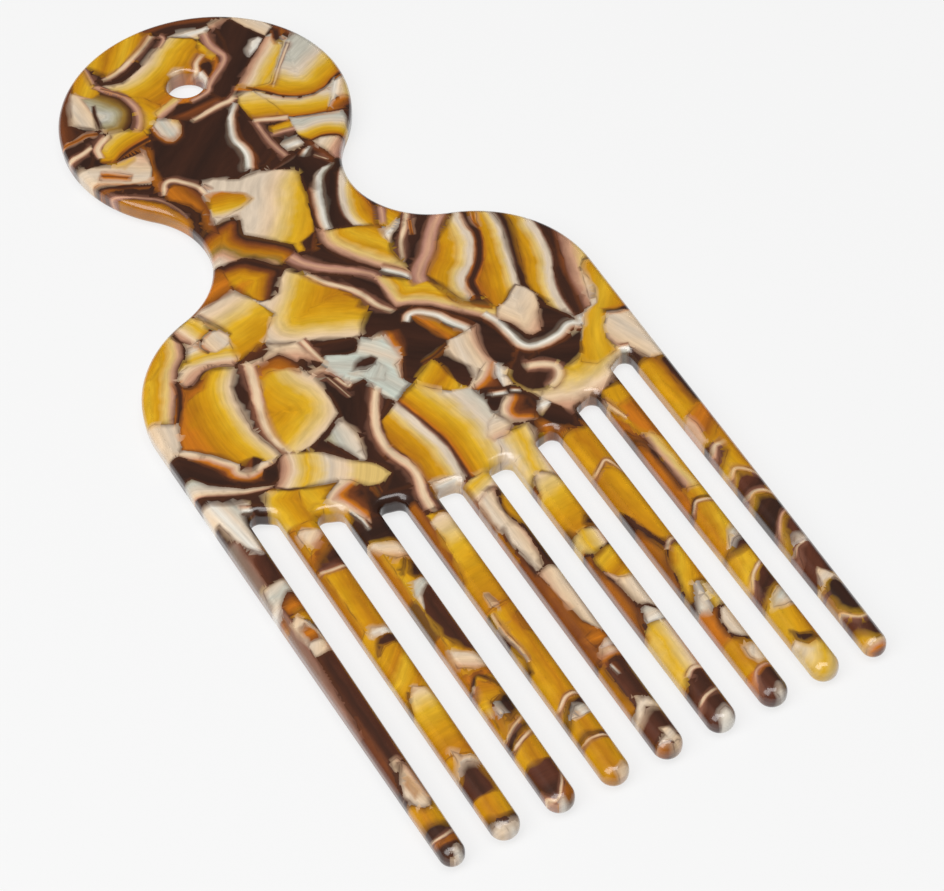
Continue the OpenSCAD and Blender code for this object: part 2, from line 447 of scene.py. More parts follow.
# tooth 1
chips += [
    patch("smoke", [(-39, -24), (-35.5, -24), (-35.3, -48), (-35.8, -64), (-39, -66)], 90),
    patch("cocoa", [(-39, -64), (-36.6, -66), (-35.2, -60), (-35, -69), (-36, -76), (-39, -76)], 90),
    patch("cocoa", [(-35.6, -24), (-32, -24), (-32, -34.5), (-35.4, -33.5)], 80),
    patch("blush", [(-34.8, -24), (-33, -24), (-33.2, -27.6), (-34.4, -26)], 90),
    patch("cloud", [(-36.4, -34), (-32, -33.6), (-32, -36), (-33.6, -36), (-35.4, -38), (-37, -40)], 20),
    patch("burnt", [(-35.4, -38), (-33.6, -36.4), (-32, -36.6), (-32, -40.2), (-35.2, -40.2)], 0, 0.5),
    patch("honey", [(-35.4, -40.4), (-32, -39.6), (-32, -43), (-33.2, -42), (-34.4, -41)], 0),
    patch("orange", [(-38, -40.6), (-36.2, -40.4), (-36.4, -42.6), (-38, -42.8)], 0),
    patch("blush", [(-35.8, -41.6), (-34.4, -40.6), (-33.4, -42), (-32.6, -44.6), (-32.2, -48.2),
        (-35.2, -48.4), (-35.4, -45)], 60),
    patch("burnt", [(-35, -43.4), (-34, -42.4), (-33.2, -44), (-33, -45.8), (-34.8, -45.8)], 0, 0.6),
    patch("cocoa", [(-35, -48.6), (-32, -48.2), (-32, -70), (-33.4, -69.4), (-35, -69), (-35.2, -60)], 90),
    patch("blush", [(-34.6, -69.2), (-33.4, -68.8), (-32.6, -71), (-32, -76), (-33.2, -78), (-34.6, -77.4),
        (-35.4, -74.6), (-34.4, -71.6)], 100),
    band("dark", [(-33.4, -69.8), (-35, -72.6), (-36.2, -75.4)], 0.6),
    patch("orange", [(-34.5, -73.4), (-33.6, -72.4), (-33.4, -75), (-34.2, -75.8)], 90),
    patch("honey", [(-38, -75.8), (-35.2, -76.4), (-34, -78), (-32.8, -77.8), (-31.8, -75.4), (-31.8, -81),
        (-38, -80.6)], 88),
    patch("dark", [(-38, -80.8), (-35, -80.5), (-31.8, -81), (-31.8, -82.5), (-34, -83), (-38, -82)], 0),
    band("stripe", [(-37.4, -82), (-34.6, -83), (-31.8, -82.6)], 0.6),
    patch("burnt", [(-38, -82.6), (-34, -83.4), (-31.8, -83), (-31.8, -84.4), (-37, -84)], 0, 0.5),
    patch("dark", [(-37, -84), (-34, -84.2), (-31.8, -84.6), (-31.8, -86), (-36.4, -85.6)], 0),
    patch("blush", [(-37, -85.7), (-34, -86.1), (-31.8, -86), (-33, -88), (-36, -88)], 0),
    # Small white chip on the tooth's rounded tip: a painted highlight.
    patch("cloud", [(-34, -85.3), (-33, -84.9), (-32.8, -86.4), (-33.8, -86.6)], 0),
]

# tooth 2
chips += [
    patch("honey", [(-30, -24), (-23, -24), (-23, -84), (-30, -84)], 88, 1.3),
    # Orange down the tooth's left side: painted glow of light shining through that edge of the acetate.
    patch("orange", [(-30, -24), (-27.4, -24), (-27.6, -34), (-27.3, -48), (-30, -50)], 90),
    patch("orange", [(-30, -70), (-28.4, -71), (-28, -77), (-28, -83), (-30, -83)], 90),
    patch("blush", [(-27.6, -27.6), (-26, -26), (-23.6, -26), (-23.6, -28.6), (-25, -30), (-26.6, -31.2),
        (-27.6, -29.6)], 45),
    patch("orange", [(-27.2, -31.4), (-24, -29.4), (-23.4, -31), (-26, -33.2), (-28, -34.8),
        (-28.6, -33.6)], 45),
    patch("cocoa", [(-28.4, -34.8), (-26.6, -33), (-24, -31.2), (-23, -31.4), (-23, -35.5), (-27.4, -35.6)],
        0),
    band("stripe", [(-28, -35.5), (-26, -35.9), (-23, -35.9)], 0.8),
    patch("cloud", [(-27, -48.6), (-26, -47.8), (-25, -48.4), (-23.6, -48.4), (-23.8, -49.8), (-26, -49.6),
        (-27, -49.4)], 0),
    patch("cocoa", [(-27.7, -52.6), (-26.8, -50.6), (-26, -49.7), (-23.6, -50), (-24, -51.4),
        (-26.2, -51.4), (-27.2, -52.8)], 0),
    patch("honey", [(-28.4, -54), (-26, -51.8), (-23.6, -51.6), (-23.6, -60.4), (-26.4, -59.8),
        (-27.6, -61.4), (-28.6, -60)], 45, 0.7),
    patch("fan", [(-27.4, -61.4), (-26, -59.6), (-24.4, -60.6), (-23.2, -64), (-23, -73.6), (-26, -72.6),
        (-28.4, -72), (-28.6, -67)], 185, 1.6),
    band("dark", [(-27, -60.2), (-27.8, -62.4), (-28.4, -65.4)], 0.3),
    patch("blush", [(-28, -76.4), (-26.6, -73.6), (-26.4, -71.6), (-25.6, -73.2), (-23, -74), (-23, -76),
        (-25, -75), (-27, -75.4)], 45),
    patch("cocoa", [(-28, -77.4), (-27, -74.9), (-25.4, -74.3), (-24.1, -75.4), (-23.8, -78.6),
        (-24.2, -80.2), (-28, -79.8)], 90),
    patch("dark", [(-28.8, -83.3), (-27.4, -83.4), (-25.6, -84.6), (-25.4, -85.4), (-27.6, -84.9),
        (-29, -84.6)], 0),
    patch("blush", [(-29, -84.6), (-27, -84.9), (-25.4, -85.4), (-23, -85), (-24, -88), (-28, -88)], 0,
        0.8),
    # Small white chip on the tooth's rounded tip: a painted highlight.
    patch("cloud", [(-26, -85.4), (-24.6, -85.6), (-24.6, -86.8), (-25.8, -87)], 0),
]

# tooth 3
chips += [
    patch("honey", [(-21, -34), (-14.6, -34), (-14.6, -88), (-21, -88)], 88),
    # Orange down the tooth's left side: painted glow of light shining through that edge of the acetate.
    patch("orange", [(-21, -33.6), (-18.6, -34.6), (-18.4, -60), (-19, -72), (-21, -76)], 90),
    patch("dark", [(-21, -26), (-14.6, -26), (-14.6, -36), (-17, -35), (-20.6, -33.4)], 0),
    band("ice", [(-18.8, -27), (-18.2, -29.4), (-18, -31.6)], 1.4, 0.5),
    patch("blush", [(-20.6, -33.4), (-18.6, -34.6), (-17, -35.2), (-14.6, -36.6), (-14.6, -39),
        (-17, -38.6), (-18.8, -36.8)], -25),
    patch("dark", [(-17, -41.8), (-15.8, -40), (-14.6, -40), (-14.6, -43.2), (-16.6, -43.2)], 0),
    band("dark", [(-16.2, -39.4), (-17.9, -41.8)], 0.4),
    patch("cloud", [(-18.2, -46), (-17.2, -43.5), (-14.6, -43.4), (-14.6, -45.6), (-16.8, -46),
        (-18.1, -49)], 30),
    patch("umber", [(-21, -47), (-18.4, -46.6), (-18.4, -54), (-21, -54.6)], 90),
    patch("cocoa", [(-18.4, -49.4), (-17.3, -46.4), (-15.8, -44.8), (-14.6, -45), (-14.6, -59.4),
        (-16.6, -57.6), (-18.2, -54)], 90),
    patch("blush", [(-18.8, -56.6), (-17, -58), (-14.6, -59.8), (-14.6, -61.6), (-17, -61.4), (-19, -60)],
        -30),
    patch("burnt", [(-19, -61.6), (-14.6, -61.8), (-14.6, -63.4), (-17, -62.6), (-19, -63.8)], 0, 0.5),
    patch("fan", [(-19.6, -66), (-17.8, -63.2), (-16, -65.2), (-14.6, -67), (-16.4, -66.8), (-17.6, -67),
        (-18.8, -70)], -20, 0.7),
    band("dark", [(-19.4, -64.6), (-17.4, -62.5), (-15.8, -64.4), (-14.8, -66)], 0.7),
    band("stripe", [(-20, -66.8), (-18.6, -64)], 0.6),
    patch("burnt", [(-18.8, -69.4), (-17.8, -67.2), (-17.4, -70), (-18.9, -73.6)], 90),
    patch("dark", [(-17.8, -67.6), (-16, -66.8), (-14.6, -67), (-14.6, -70), (-17, -71.4)], 0),
    patch("cloud", [(-18.1, -69), (-17.4, -67.7), (-17.1, -69.8), (-17.8, -70.3)], 0),
    band("stripe", [(-19.6, -74.8), (-17.6, -72.8), (-14.6, -71.3)], 0.7),
    band("dark", [(-20, -75.8), (-17.8, -73.8), (-14.6, -72.4)], 0.9, 1.2),
    band("stripe", [(-19.2, -76), (-17, -74.8), (-14.6, -74)], 0.7),
    patch("cocoa", [(-20.8, -79.8), (-18.6, -79), (-14.6, -79.2), (-15.2, -82), (-16.8, -84.6),
        (-18, -85.8), (-19.6, -83)], 0),
    patch("umber", [(-17.8, -86), (-14.6, -82.2), (-14.6, -88), (-18, -88)], 0),
    patch("blush", [(-21, -80.4), (-20, -80.8), (-18, -86), (-18, -88), (-21, -88)], 90),
    band("stripe", [(-20.4, -80.8), (-19.4, -83.2), (-18, -85.6), (-16.4, -84), (-14.8, -81.8)], 0.6),
    # Small white chip on the tooth's rounded tip: a painted highlight.
    patch("cloud", [(-18, -85.8), (-17, -85.4), (-16.8, -87), (-18, -87.2)], 0),
]

# tooth 4
chips += [
    patch("honey", [(-13, -34), (-5.8, -34), (-5.8, -88), (-13, -88)], 88, 1.2),
    # Orange-brown down the tooth's left side: painted glow of light shining through that edge of the
    # acetate.
    patch("burnt", [(-13, -26), (-9.8, -27), (-9.7, -36), (-10.3, -46), (-11.2, -53), (-10.8, -66),
        (-11, -70), (-13, -72)], 90, 0.7),
    patch("dark", [(-9.8, -27), (-5.8, -27), (-5.8, -34.8), (-8.6, -34.2), (-9.9, -32)], 0),
    band("stripe", [(-8.9, -27), (-8.8, -30), (-8.4, -33.6)], 1.6, 0.8),
    patch("fan", [(-9.9, -35.4), (-8, -34.5), (-5.8, -34.8), (-5.8, -53.2), (-9, -53.4), (-11.2, -53.6),
        (-11.4, -50), (-10.2, -44), (-9.6, -39)], 184, 2.4),
    patch("blush", [(-9.6, -50.6), (-8.9, -50.8), (-8.5, -53.4), (-9, -54), (-9.7, -53)], 90, 0.6),
    band("orange", [(-10.8, -53.7), (-5.8, -53.3)], 0.4),
    band("stripe", [(-10.3, -54.4), (-10.4, -58), (-10, -61), (-9.9, -64)], 0.6),
    band("dark", [(-10.9, -54), (-10.9, -58), (-10.2, -62.6), (-10.6, -66)], 0.5),
    patch("orange", [(-8, -56.4), (-6.8, -55.4), (-5.8, -56), (-5.8, -60), (-7.8, -58.8)], 90),
    patch("dark", [(-12, -77.6), (-10.4, -74.4), (-8.8, -72.7), (-5.8, -72.4), (-5.8, -73.9), (-8.4, -73.9),
        (-10, -75.6), (-11.6, -78)], 0),
    band("stripe", [(-11.6, -75), (-10.2, -73.2), (-8.4, -71.8), (-5.8, -71.9)], 0.8),
    patch("cloud", [(-10, -75.4), (-8.4, -73.8), (-5.8, -73.8), (-5.8, -75.2), (-8, -75.7)], 0, 0.6),
    band("dark", [(-12, -79.5), (-9.4, -78.7), (-8.4, -78.9), (-5.8, -79.6)], 0.5),
    band("stripe", [(-11.4, -80.3), (-9, -79.5), (-5.8, -80.1)], 0.6),
    patch("blush", [(-8.8, -85.6), (-7.4, -84.8), (-5.8, -85.6), (-7, -88), (-9, -88)], 0),
    band("umber", [(-12, -85.6), (-10.6, -87), (-8, -87.6)], 0.9),
]

# tooth 5
chips += [
    # Orange-brown down the tooth's left side: painted glow of light shining through that edge of the
    # acetate.
    patch("burnt", [(-4, -30), (-1.6, -31), (-1.5, -50), (-0.8, -54), (0, -62), (2.8, -66), (2.8, -69),
        (-4, -69)], 90, 0.7),
    patch("swell", [(-2.2, -31.6), (0, -31), (2.8, -29.6), (2.8, -34.4), (0.6, -33.8), (-2, -36)], 20, 0.8),
    patch("blush", [(-2, -35.4), (0, -34.4), (1.2, -34.6), (0.5, -37), (0.4, -40), (1.3, -44), (0.9, -48),
        (0, -50.8), (-1.2, -51), (-1.4, -46), (-2, -42)], 90, 0.7),
    patch("honey", [(0.6, -38.4), (1.4, -36), (2.8, -36), (2.8, -43), (1.4, -42), (0.7, -40)], 90),
    band("dark", [(1.6, -35), (0.6, -37.4), (0.6, -40.6), (1.6, -43), (2.4, -46)], 0.6),
    patch("dark", [(1.4, -44), (2.8, -44), (2.8, -51.4), (0.9, -50.4), (1, -48)], 0),
    band("dark", [(-1.6, -41.6), (-1.8, -45), (-1.5, -48), (-1.4, -51.6)], 0.6),
    # More of the painted glow down the tooth's left side.
    patch("orange", [(-4, -41), (-2.1, -41.6), (-2, -47.6), (-4, -49)], 90),
    patch("blush", [(-1.2, -51.5), (0.6, -50.7), (2.8, -51.6), (2.8, -65.8), (1.2, -63.8), (0.1, -61.6),
        (-0.5, -58), (-0.8, -54)], -92, 1.2),
    band("dark", [(-1.4, -51.9), (0.6, -50.7), (2.6, -51.5)], 0.3),
    patch("burnt", [(-1.2, -64.4), (0.8, -63.8), (1.8, -65.6), (-0.8, -66.8)], 0, 0.6),
    patch("glow", [(-2.2, -70.4), (0, -67.4), (2.8, -67.6), (2.8, -70.6), (1, -69.2), (-0.4, -69.4),
        (-1.2, -73), (-2.2, -73)], 180, 0.9),
    patch("cloud", [(0, -66.9), (1, -66), (2.8, -65.6), (2.8, -67.3), (0.4, -67.3)], 0, 0.6),
    # More of the painted glow down the tooth's left side.
    patch("orange", [(-4, -69.6), (-1.6, -70), (-1.3, -78.4), (-4, -79)], 90),
    patch("cocoa", [(-1.1, -71), (-0.3, -69.6), (0.9, -69.5), (2.8, -71), (2.8, -78.2), (0.8, -77),
        (-0.4, -76.2), (-1.2, -78.2)], 90),
    band("ice", [(-0.4, -70.4), (-0.2, -71.8)], 0.8, 0.3),
    patch("cocoa", [(-2.6, -80.4), (-0.6, -78.9), (1, -79), (2.8, -80), (2.8, -85.4), (0.8, -84),
        (-0.4, -83.6), (-2.6, -84.6)], 90),
    patch("blush", [(-2.2, -79.8), (-0.9, -77.8), (-0.5, -76.4), (0.6, -77.4), (2.8, -79), (2.8, -80.2),
        (0, -78.8), (-2, -81)], 30, 0.9),
    patch("burnt", [(-2.8, -84.8), (-0.4, -84.6), (0.4, -86), (0.2, -88), (-2.4, -88)], 90),
    patch("blush", [(-1.9, -84.9), (-0.1, -84.1), (-0.2, -82.8), (1, -83.2), (1.4, -84.6), (2.6, -85),
        (1, -86.6), (0, -85.2)], 20, 0.7),
    patch("blush", [(0, -85.8), (1, -85.4), (2.6, -86), (1, -88), (-0.6, -88)], 20),
]

# tooth 6
chips += [
    patch("swell", [(4.8, -26), (11.6, -26), (11.6, -38), (9, -35), (7.4, -35.4), (4.8, -38)], 80),
    # Orange-brown down the tooth's left side: painted glow of light shining through that edge of the
    # acetate.
    patch("burnt", [(4.8, -37), (6.7, -37), (6.2, -42), (6.2, -50), (6.9, -52.6), (7.3, -57), (8, -64),
        (7, -67), (6.3, -72), (4.8, -72)], 90, 0.8),
    patch("fan", [(6.4, -39), (7.2, -36), (8, -34.8), (9.4, -35.8), (11.6, -38.6), (11.6, -47.6),
        (9, -47.6), (7.4, -48.2), (6.3, -46)], 188, 1.8),
    patch("dark", [(9, -46.8), (10, -45.6), (11.6, -45.4), (11.6, -47.8), (9.4, -47.4)], 0),
    patch("swell", [(6.5, -48.4), (8.4, -47.5), (9.6, -48), (11.6, -49), (11.6, -51.6), (9, -51.8),
        (7.6, -52.4), (6.3, -51)], 90, 0.9),
    patch("honey", [(6.9, -52.9), (9, -52.3), (11.6, -51.4), (11.6, -58), (9.6, -58.6), (8, -57.8),
        (7, -55)], 20, 0.9),
    patch("blush", [(7.2, -55.8), (8.4, -57.8), (10, -58.2), (11.6, -57.4), (11.6, -65.4), (9.4, -63.8),
        (8.3, -63.2), (7.6, -59)], -100, 1.2),
    band("dark", [(6.3, -51.6), (7.2, -52.5), (9, -52.1), (11.4, -51.2)], 0.5),
    band("dark", [(6.9, -52.8), (7, -56), (7.6, -59), (7.9, -63), (7, -66), (6.6, -70)], 0.5),
    band("dark", [(8, -63.6), (9.4, -63.9), (11, -65.6)], 0.5),
    patch("cloud", [(7.7, -66.9), (8.2, -64.5), (9, -64), (10.4, -65.2), (11.6, -66.8), (9.6, -67.1)], 0),
    patch("swell", [(6.5, -68), (7.8, -67), (10, -67.1), (11.6, -67), (11.6, -76.8), (9.6, -76.2), (8, -77),
        (6.2, -79.2), (6, -72)], 88, 1.1),
    # More of the painted glow down the tooth's left side.
    patch("orange", [(4.8, -79), (6.6, -78.4), (6.2, -81), (6.4, -83.4), (4.8, -84)], 90),
    patch("cocoa", [(6.2, -81.4), (8, -77.6), (9.4, -77), (11.6, -77.8), (11.6, -87), (8, -88.4),
        (5.8, -87)], 90, 1.2),
    band("stripe", [(7.6, -77.6), (9, -76.6), (11.6, -77)], 0.9),
    band("stripe", [(5.8, -83.3), (8, -81.5), (11.6, -80.8)], 0.7),
    # White chip on the tooth's rounded tip: a painted highlight, the bright reflection on its nose.
    patch("cloud", [(7.5, -86), (8.4, -84.4), (9.5, -84.1), (10.1, -85.2), (9.4, -86.7), (8.1, -87.1)], 0,
        3.0),
]

# tooth 7
chips += [
    patch("honey", [(13, -28), (20.4, -28), (20.4, -56), (17.4, -55.4), (13, -40)], 88, 1.4),
    patch("burnt", [(13, -26), (20.4, -26), (20.4, -31), (17, -30.4), (13, -31)], 0),
    patch("honey", [(14.4, -42), (15.4, -40), (17, -39.3), (18.2, -40), (20.4, -44), (20.4, -56),
        (17.4, -55.4), (16, -51), (15, -46)], 95, 2.0),
    band("stripe", [(14.8, -40.4), (16.6, -39), (18.2, -38.2), (19.4, -41)], 0.7),
    # Orange down the tooth's left side: painted glow of light shining through that edge of the acetate.
    patch("orange", [(13, -43), (14.4, -45), (15.6, -52), (16.9, -57), (15.6, -60), (15, -65), (13, -66)],
        90),
    patch("honey", [(16, -59), (17.4, -56.8), (20.4, -56.4), (20.4, -64.6), (17.6, -63.8), (16.6, -64.4),
        (15.2, -66.4), (15.6, -61)], 60, 0.8),
    band("stripe", [(17, -57), (18.2, -55.8), (20, -55.5)], 0.9),
    band("dark", [(14, -43), (14.8, -47), (15.4, -51), (16.4, -54.6), (17, -56.6)], 0.5, 1.2),
    band("dark", [(16.9, -57), (15.8, -59.4), (15.6, -62), (15, -65)], 0.4),
    patch("cloud", [(15, -68.6), (16, -66.4), (16.8, -64.2), (17.6, -63.9), (17.5, -67.4), (16.4, -69.8),
        (15.2, -69.6)], 90, 0.8),
    patch("swell", [(17.4, -66.4), (18, -64.6), (20.4, -64.4), (20.4, -69), (17.4, -69.2)], 70, 0.7),
    patch("cloud", [(18, -65.6), (19, -64.6), (20, -65.4), (18.4, -67)], 0),
    # More of the painted glow down the tooth's left side.
    patch("burnt", [(13, -67), (15, -68.6), (16.4, -69.8), (17.8, -69), (16.6, -71), (16.4, -75.4),
        (13, -75.4)], 90),
    patch("blush", [(16.8, -71.4), (18, -69.8), (20.4, -69), (20.4, -76.4), (18, -75.4), (16.7, -74)], 90,
        0.8),
    band("dark", [(20.2, -68.6), (17.6, -69.8), (16.6, -71.6), (16.6, -74.4), (18, -75.7), (20.2, -76.4)],
        0.5),
    patch("honey", [(13, -75.4), (16.6, -75), (18.2, -76.1), (20.4, -76.8), (20.4, -82), (13, -82)], 92,
        1.4),
    patch("blush", [(17, -77.2), (18.6, -76.8), (20.4, -77.4), (20.4, -80.2), (17.6, -80.2), (16.9, -79)],
        60),
    patch("orange", [(13, -81.4), (20.4, -80.9), (20.4, -88.4), (13, -88.4)], 60),
    band("flesh", [(15, -85.4), (15.8, -82.2), (17, -81.1), (20, -81)], 0.6),
    patch("cocoa", [(15.1, -85), (16, -82.3), (17.2, -81.4), (20.4, -81.4), (20.4, -85), (17.8, -87),
        (15.8, -86.8)], 90),
    # Small white chip on the tooth's rounded tip: a painted highlight.
    patch("cloud", [(16.7, -85.8), (17.8, -84.7), (18.1, -86), (17.2, -86.7)], 0),
]

# tooth 8
chips += [
    patch("honey", [(21, -26), (29.4, -26), (29.4, -88), (21, -88)], 80, 1.3),
    patch("orange", [(25.2, -30), (29.4, -29), (29.4, -40), (26.4, -37), (25.2, -35.6)], 90),
    # Orange-brown down the tooth's left side: painted glow of light shining through that edge of the
    # acetate.
    patch("burnt", [(21, -27), (23.6, -28), (24.4, -33), (25.4, -37.4), (25, -48.4), (24.4, -52.4),
        (21, -53)], 90, 0.7),
    patch("shell", [(25.2, -36.4), (26.6, -37), (29.4, -41), (29.4, -49.6), (26, -48.8), (25.1, -48.6),
        (25.4, -42)], -88, 0.9),
    band("stripe", [(24, -27), (24.4, -30), (25, -32.6)], 0.6),
    band("dark", [(22.8, -32), (23.6, -36), (24.8, -38.6), (25, -43), (25, -48.6)], 1.4, 0.5),
    band("stripe", [(23.6, -53.8), (25, -51.9), (26.2, -51.8), (29, -52.6)], 0.7),
    band("dark", [(23.4, -53.4), (25, -51.4), (26.2, -51.2), (29, -52)], 0.4),
    patch("cloud", [(24.8, -61.4), (26.4, -58.6), (29.4, -57), (29.4, -60.2), (26.4, -60.8)], 20, 0.8),
    patch("cocoa", [(23, -62.6), (25, -61.4), (26.4, -60.3), (29.4, -59.4), (29.4, -61.8), (26, -62.9),
        (24.6, -62.7)], 20),
    patch("cocoa", [(22.4, -73.6), (24.6, -68.4), (26.6, -66.6), (29.4, -64.8), (29.4, -69), (26, -70.6),
        (24, -72.4)], 30),
    band("stripe", [(23.2, -70.8), (24.8, -67.6), (26.6, -66), (29.2, -64.6)], 0.7),
    patch("cloud", [(24.4, -73.4), (25.6, -71.4), (29.4, -69.6), (29.4, -73.6), (26, -73.8)], 20, 0.9),
    patch("ruddy", [(24.1, -77.8), (25, -79.1), (26.8, -79.6), (27.4, -81.2), (25, -81.2), (24.2, -79.8)],
        0, 0.6),
    patch("swell", [(21, -80), (24, -79.6), (25, -81.3), (29.4, -81), (29.4, -88), (21, -88)], 60, 1.3),
]

# tooth 9
chips += [
    patch("honey", [(29, -24), (38.4, -24), (38.4, -88), (29, -88)], 94, 1.4),
    # Orange down the tooth's left side: painted glow of light shining through that edge of the acetate.
    patch("orange", [(29, -24), (32.4, -24), (32.2, -37), (31.6, -52), (29, -53)], 90),
    patch("ruddy", [(35.2, -24.4), (38.4, -24.4), (38.4, -35.8), (35.3, -35.2)], -90),
    patch("orange", [(33, -36.8), (36, -35.7), (38.4, -36), (38.4, -38.6), (34.4, -42.4), (33.4, -43)], 40),
    patch("blush", [(31.6, -38.4), (33, -36.8), (33.5, -39), (33, -42.6), (31.8, -42)], 90),
    patch("cocoa", [(31, -45.6), (32.4, -42.8), (34, -43.6), (34.6, -45.8), (32.6, -47.6), (31, -48)], 40),
    band("stripe", [(32, -46.6), (33.3, -44.2), (34.6, -44)], 0.9, 1.4),
    patch("cocoa", [(31, -56), (32.4, -51.6), (33.6, -49.8), (35, -51), (38, -54), (35, -54.6), (33, -54.2),
        (31.4, -57.6)], 30),
    band("stripe", [(31.2, -53.6), (32.4, -50.6), (33.6, -49.3), (35, -50.3), (37, -53)], 0.8),
    patch("dark", [(30.8, -60), (32.2, -56.4), (33.6, -55.1), (35.2, -55.7), (38, -59), (35.2, -59.4),
        (33, -61.8), (30.8, -66)], 30),
    band("stripe", [(30.9, -58.6), (32.2, -55.4), (33.4, -54.4), (35, -54.8), (37, -57)], 0.9),
    patch("cocoa", [(31.2, -70), (33.2, -62.6), (34.6, -60.6), (37.4, -59.4), (37, -73), (34, -71.8),
        (32.6, -73.6), (31, -73)], 60),
    band("flesh", [(37, -59), (34.6, -60), (33, -62), (31.8, -64.8), (31, -68)], 0.7),
    patch("cloud", [(33.1, -65.5), (34.4, -64), (36.6, -64.8), (35, -65.8)], 0, 0.7),
    band("stripe", [(31.8, -69.6), (33, -66.4), (34.8, -65.7)], 0.5),
    patch("blush", [(32.5, -73.8), (33, -71.4), (33.6, -70.6), (34.8, -72.2), (36.4, -74.4), (34, -73.2)],
        30, 0.8),
    patch("dark", [(32.4, -75), (33.2, -73.6), (34.6, -73.2), (36.4, -75), (36.4, -79), (34.8, -80.4),
        (33.2, -79.6), (32.3, -77.8)], 90),
    patch("cocoa", [(29.6, -79), (31.6, -78.2), (32.6, -80.4), (34, -81.4), (36.4, -81), (36.2, -84.8),
        (34, -85), (32.4, -83.2), (30.4, -80.8)], 60),
    band("stripe", [(32.2, -74.4), (31.9, -77.4), (32.7, -79.8), (34, -81), (36, -80.8)], 0.7),
    patch("glow", [(29, -85.6), (33.4, -85.2), (36.4, -85), (34, -88.4), (29, -88.4)], 180, 0.8),
]

# neck
chips += [
    chip("fan", [(-9, 44), (-7.8, 46.6), (-6, 46), (-4, 44.8), (-2.3, 43.8), (1.4, 43.8), (3.4, 42.9),
        (5, 42), (6.5, 41.2), (6.8, 40.3), (5.7, 36.4), (4.9, 33), (3.2, 27.8), (2.7, 26.4), (1, 23.2),
        (-1.6, 23.8), (-1.5, 25.8), (-4.8, 29.4), (-7.3, 31.9), (-6.3, 35), (-7, 36.5), (-10.6, 36)],
        [(-12, 33), (-6, 30), (-2, 34), (1.4, 40), (6, 44)][::-1], 1.7),
    chip("fan", [(-8.8, 43.3), (-6, 42.6), (-3, 40.4), (-2.6, 38.6), (-5, 37.5), (-8.2, 37), (-9.8, 38)],
        [(-3, 36), (-9.8, 37.4)][::-1], 0.6),
    band("ice", [(-8.6, 45.2), (-7.8, 43.8)], 1.9, 1.5),
    chip("burnt", [(-0.6, 23.4), (-0.2, 25.6), (2.4, 26.6), (2.9, 26.6), (2.2, 24.4), (1, 23.2)], [(3, 27),
        (0.4, 23)], 0.7),
    chip("bronze", [(-13, 35.4), (-8.4, 36.7), (-6.4, 36.2), (-6.5, 34.8), (-7.4, 31.8), (-4.8, 29.2),
        (-1.6, 25.8), (-1.9, 23.6), (-4.4, 22.4), (-5.6, 23), (-8, 26.4), (-10, 27.2), (-16, 27.6),
        (-15, 33)], [(-1.2, 24), (-1.8, 25.9), (-4.9, 29.3), (-7.3, 31.8), (-6.4, 34.6), (-6.8, 36.4),
        (-10, 36.2), (-13, 35.4)]),
    chip("ingot", [(-15.4, 27.3), (-12, 27.5), (-9.4, 26.9), (-8, 25.3), (-6.1, 22.8), (-5.2, 21.7),
        (-6.6, 20), (-8.5, 17.3), (-9.8, 16.7), (-11.2, 17), (-12.4, 18.4), (-14.2, 22.6), (-14.6, 25)],
        [(-8.5, 17), (-6.6, 20), (-5.1, 21.9), (-8, 25.4), (-9.4, 27), (-12, 27.6), (-16, 27.2)]),
    band("dark", [(-8.3, 17.1), (-9.9, 16.6), (-11.4, 17), (-12.5, 18.4), (-14.3, 22.6), (-14.6, 26)], 0.5,
        0.6),
    chip("dark", [(5.7, 43.4), (6.8, 40.3), (5.7, 36.4), (4.9, 33), (3.3, 28), (3.9, 26.4), (4.6, 25.9),
        (6.2, 25.4), (8.5, 24.7), (10.5, 29), (11.5, 34), (15, 40), (13.6, 42)], [(4, 27), (12, 42)]),
    band("ice", [(11.8, 40.4), (9, 38.2), (7.2, 34.8), (5.8, 30.8), (4.9, 28), (4.7, 26)][::-1], 1.5, 3),
    chip("gilt", [(8.7, 24.8), (8.4, 27.4), (9, 30.6), (10.4, 33.6), (12, 36.6), (16, 40), (16, 28),
        (13.8, 26.6), (12.3, 22.6)], [(8.7, 23), (8.3, 27), (9, 30.6), (10.4, 33.8), (14, 40)][::-1], 0.8),
    band("brown", [(14, 31), (13.9, 26.8), (12.1, 22.4)], 2.2, 1.4),
]

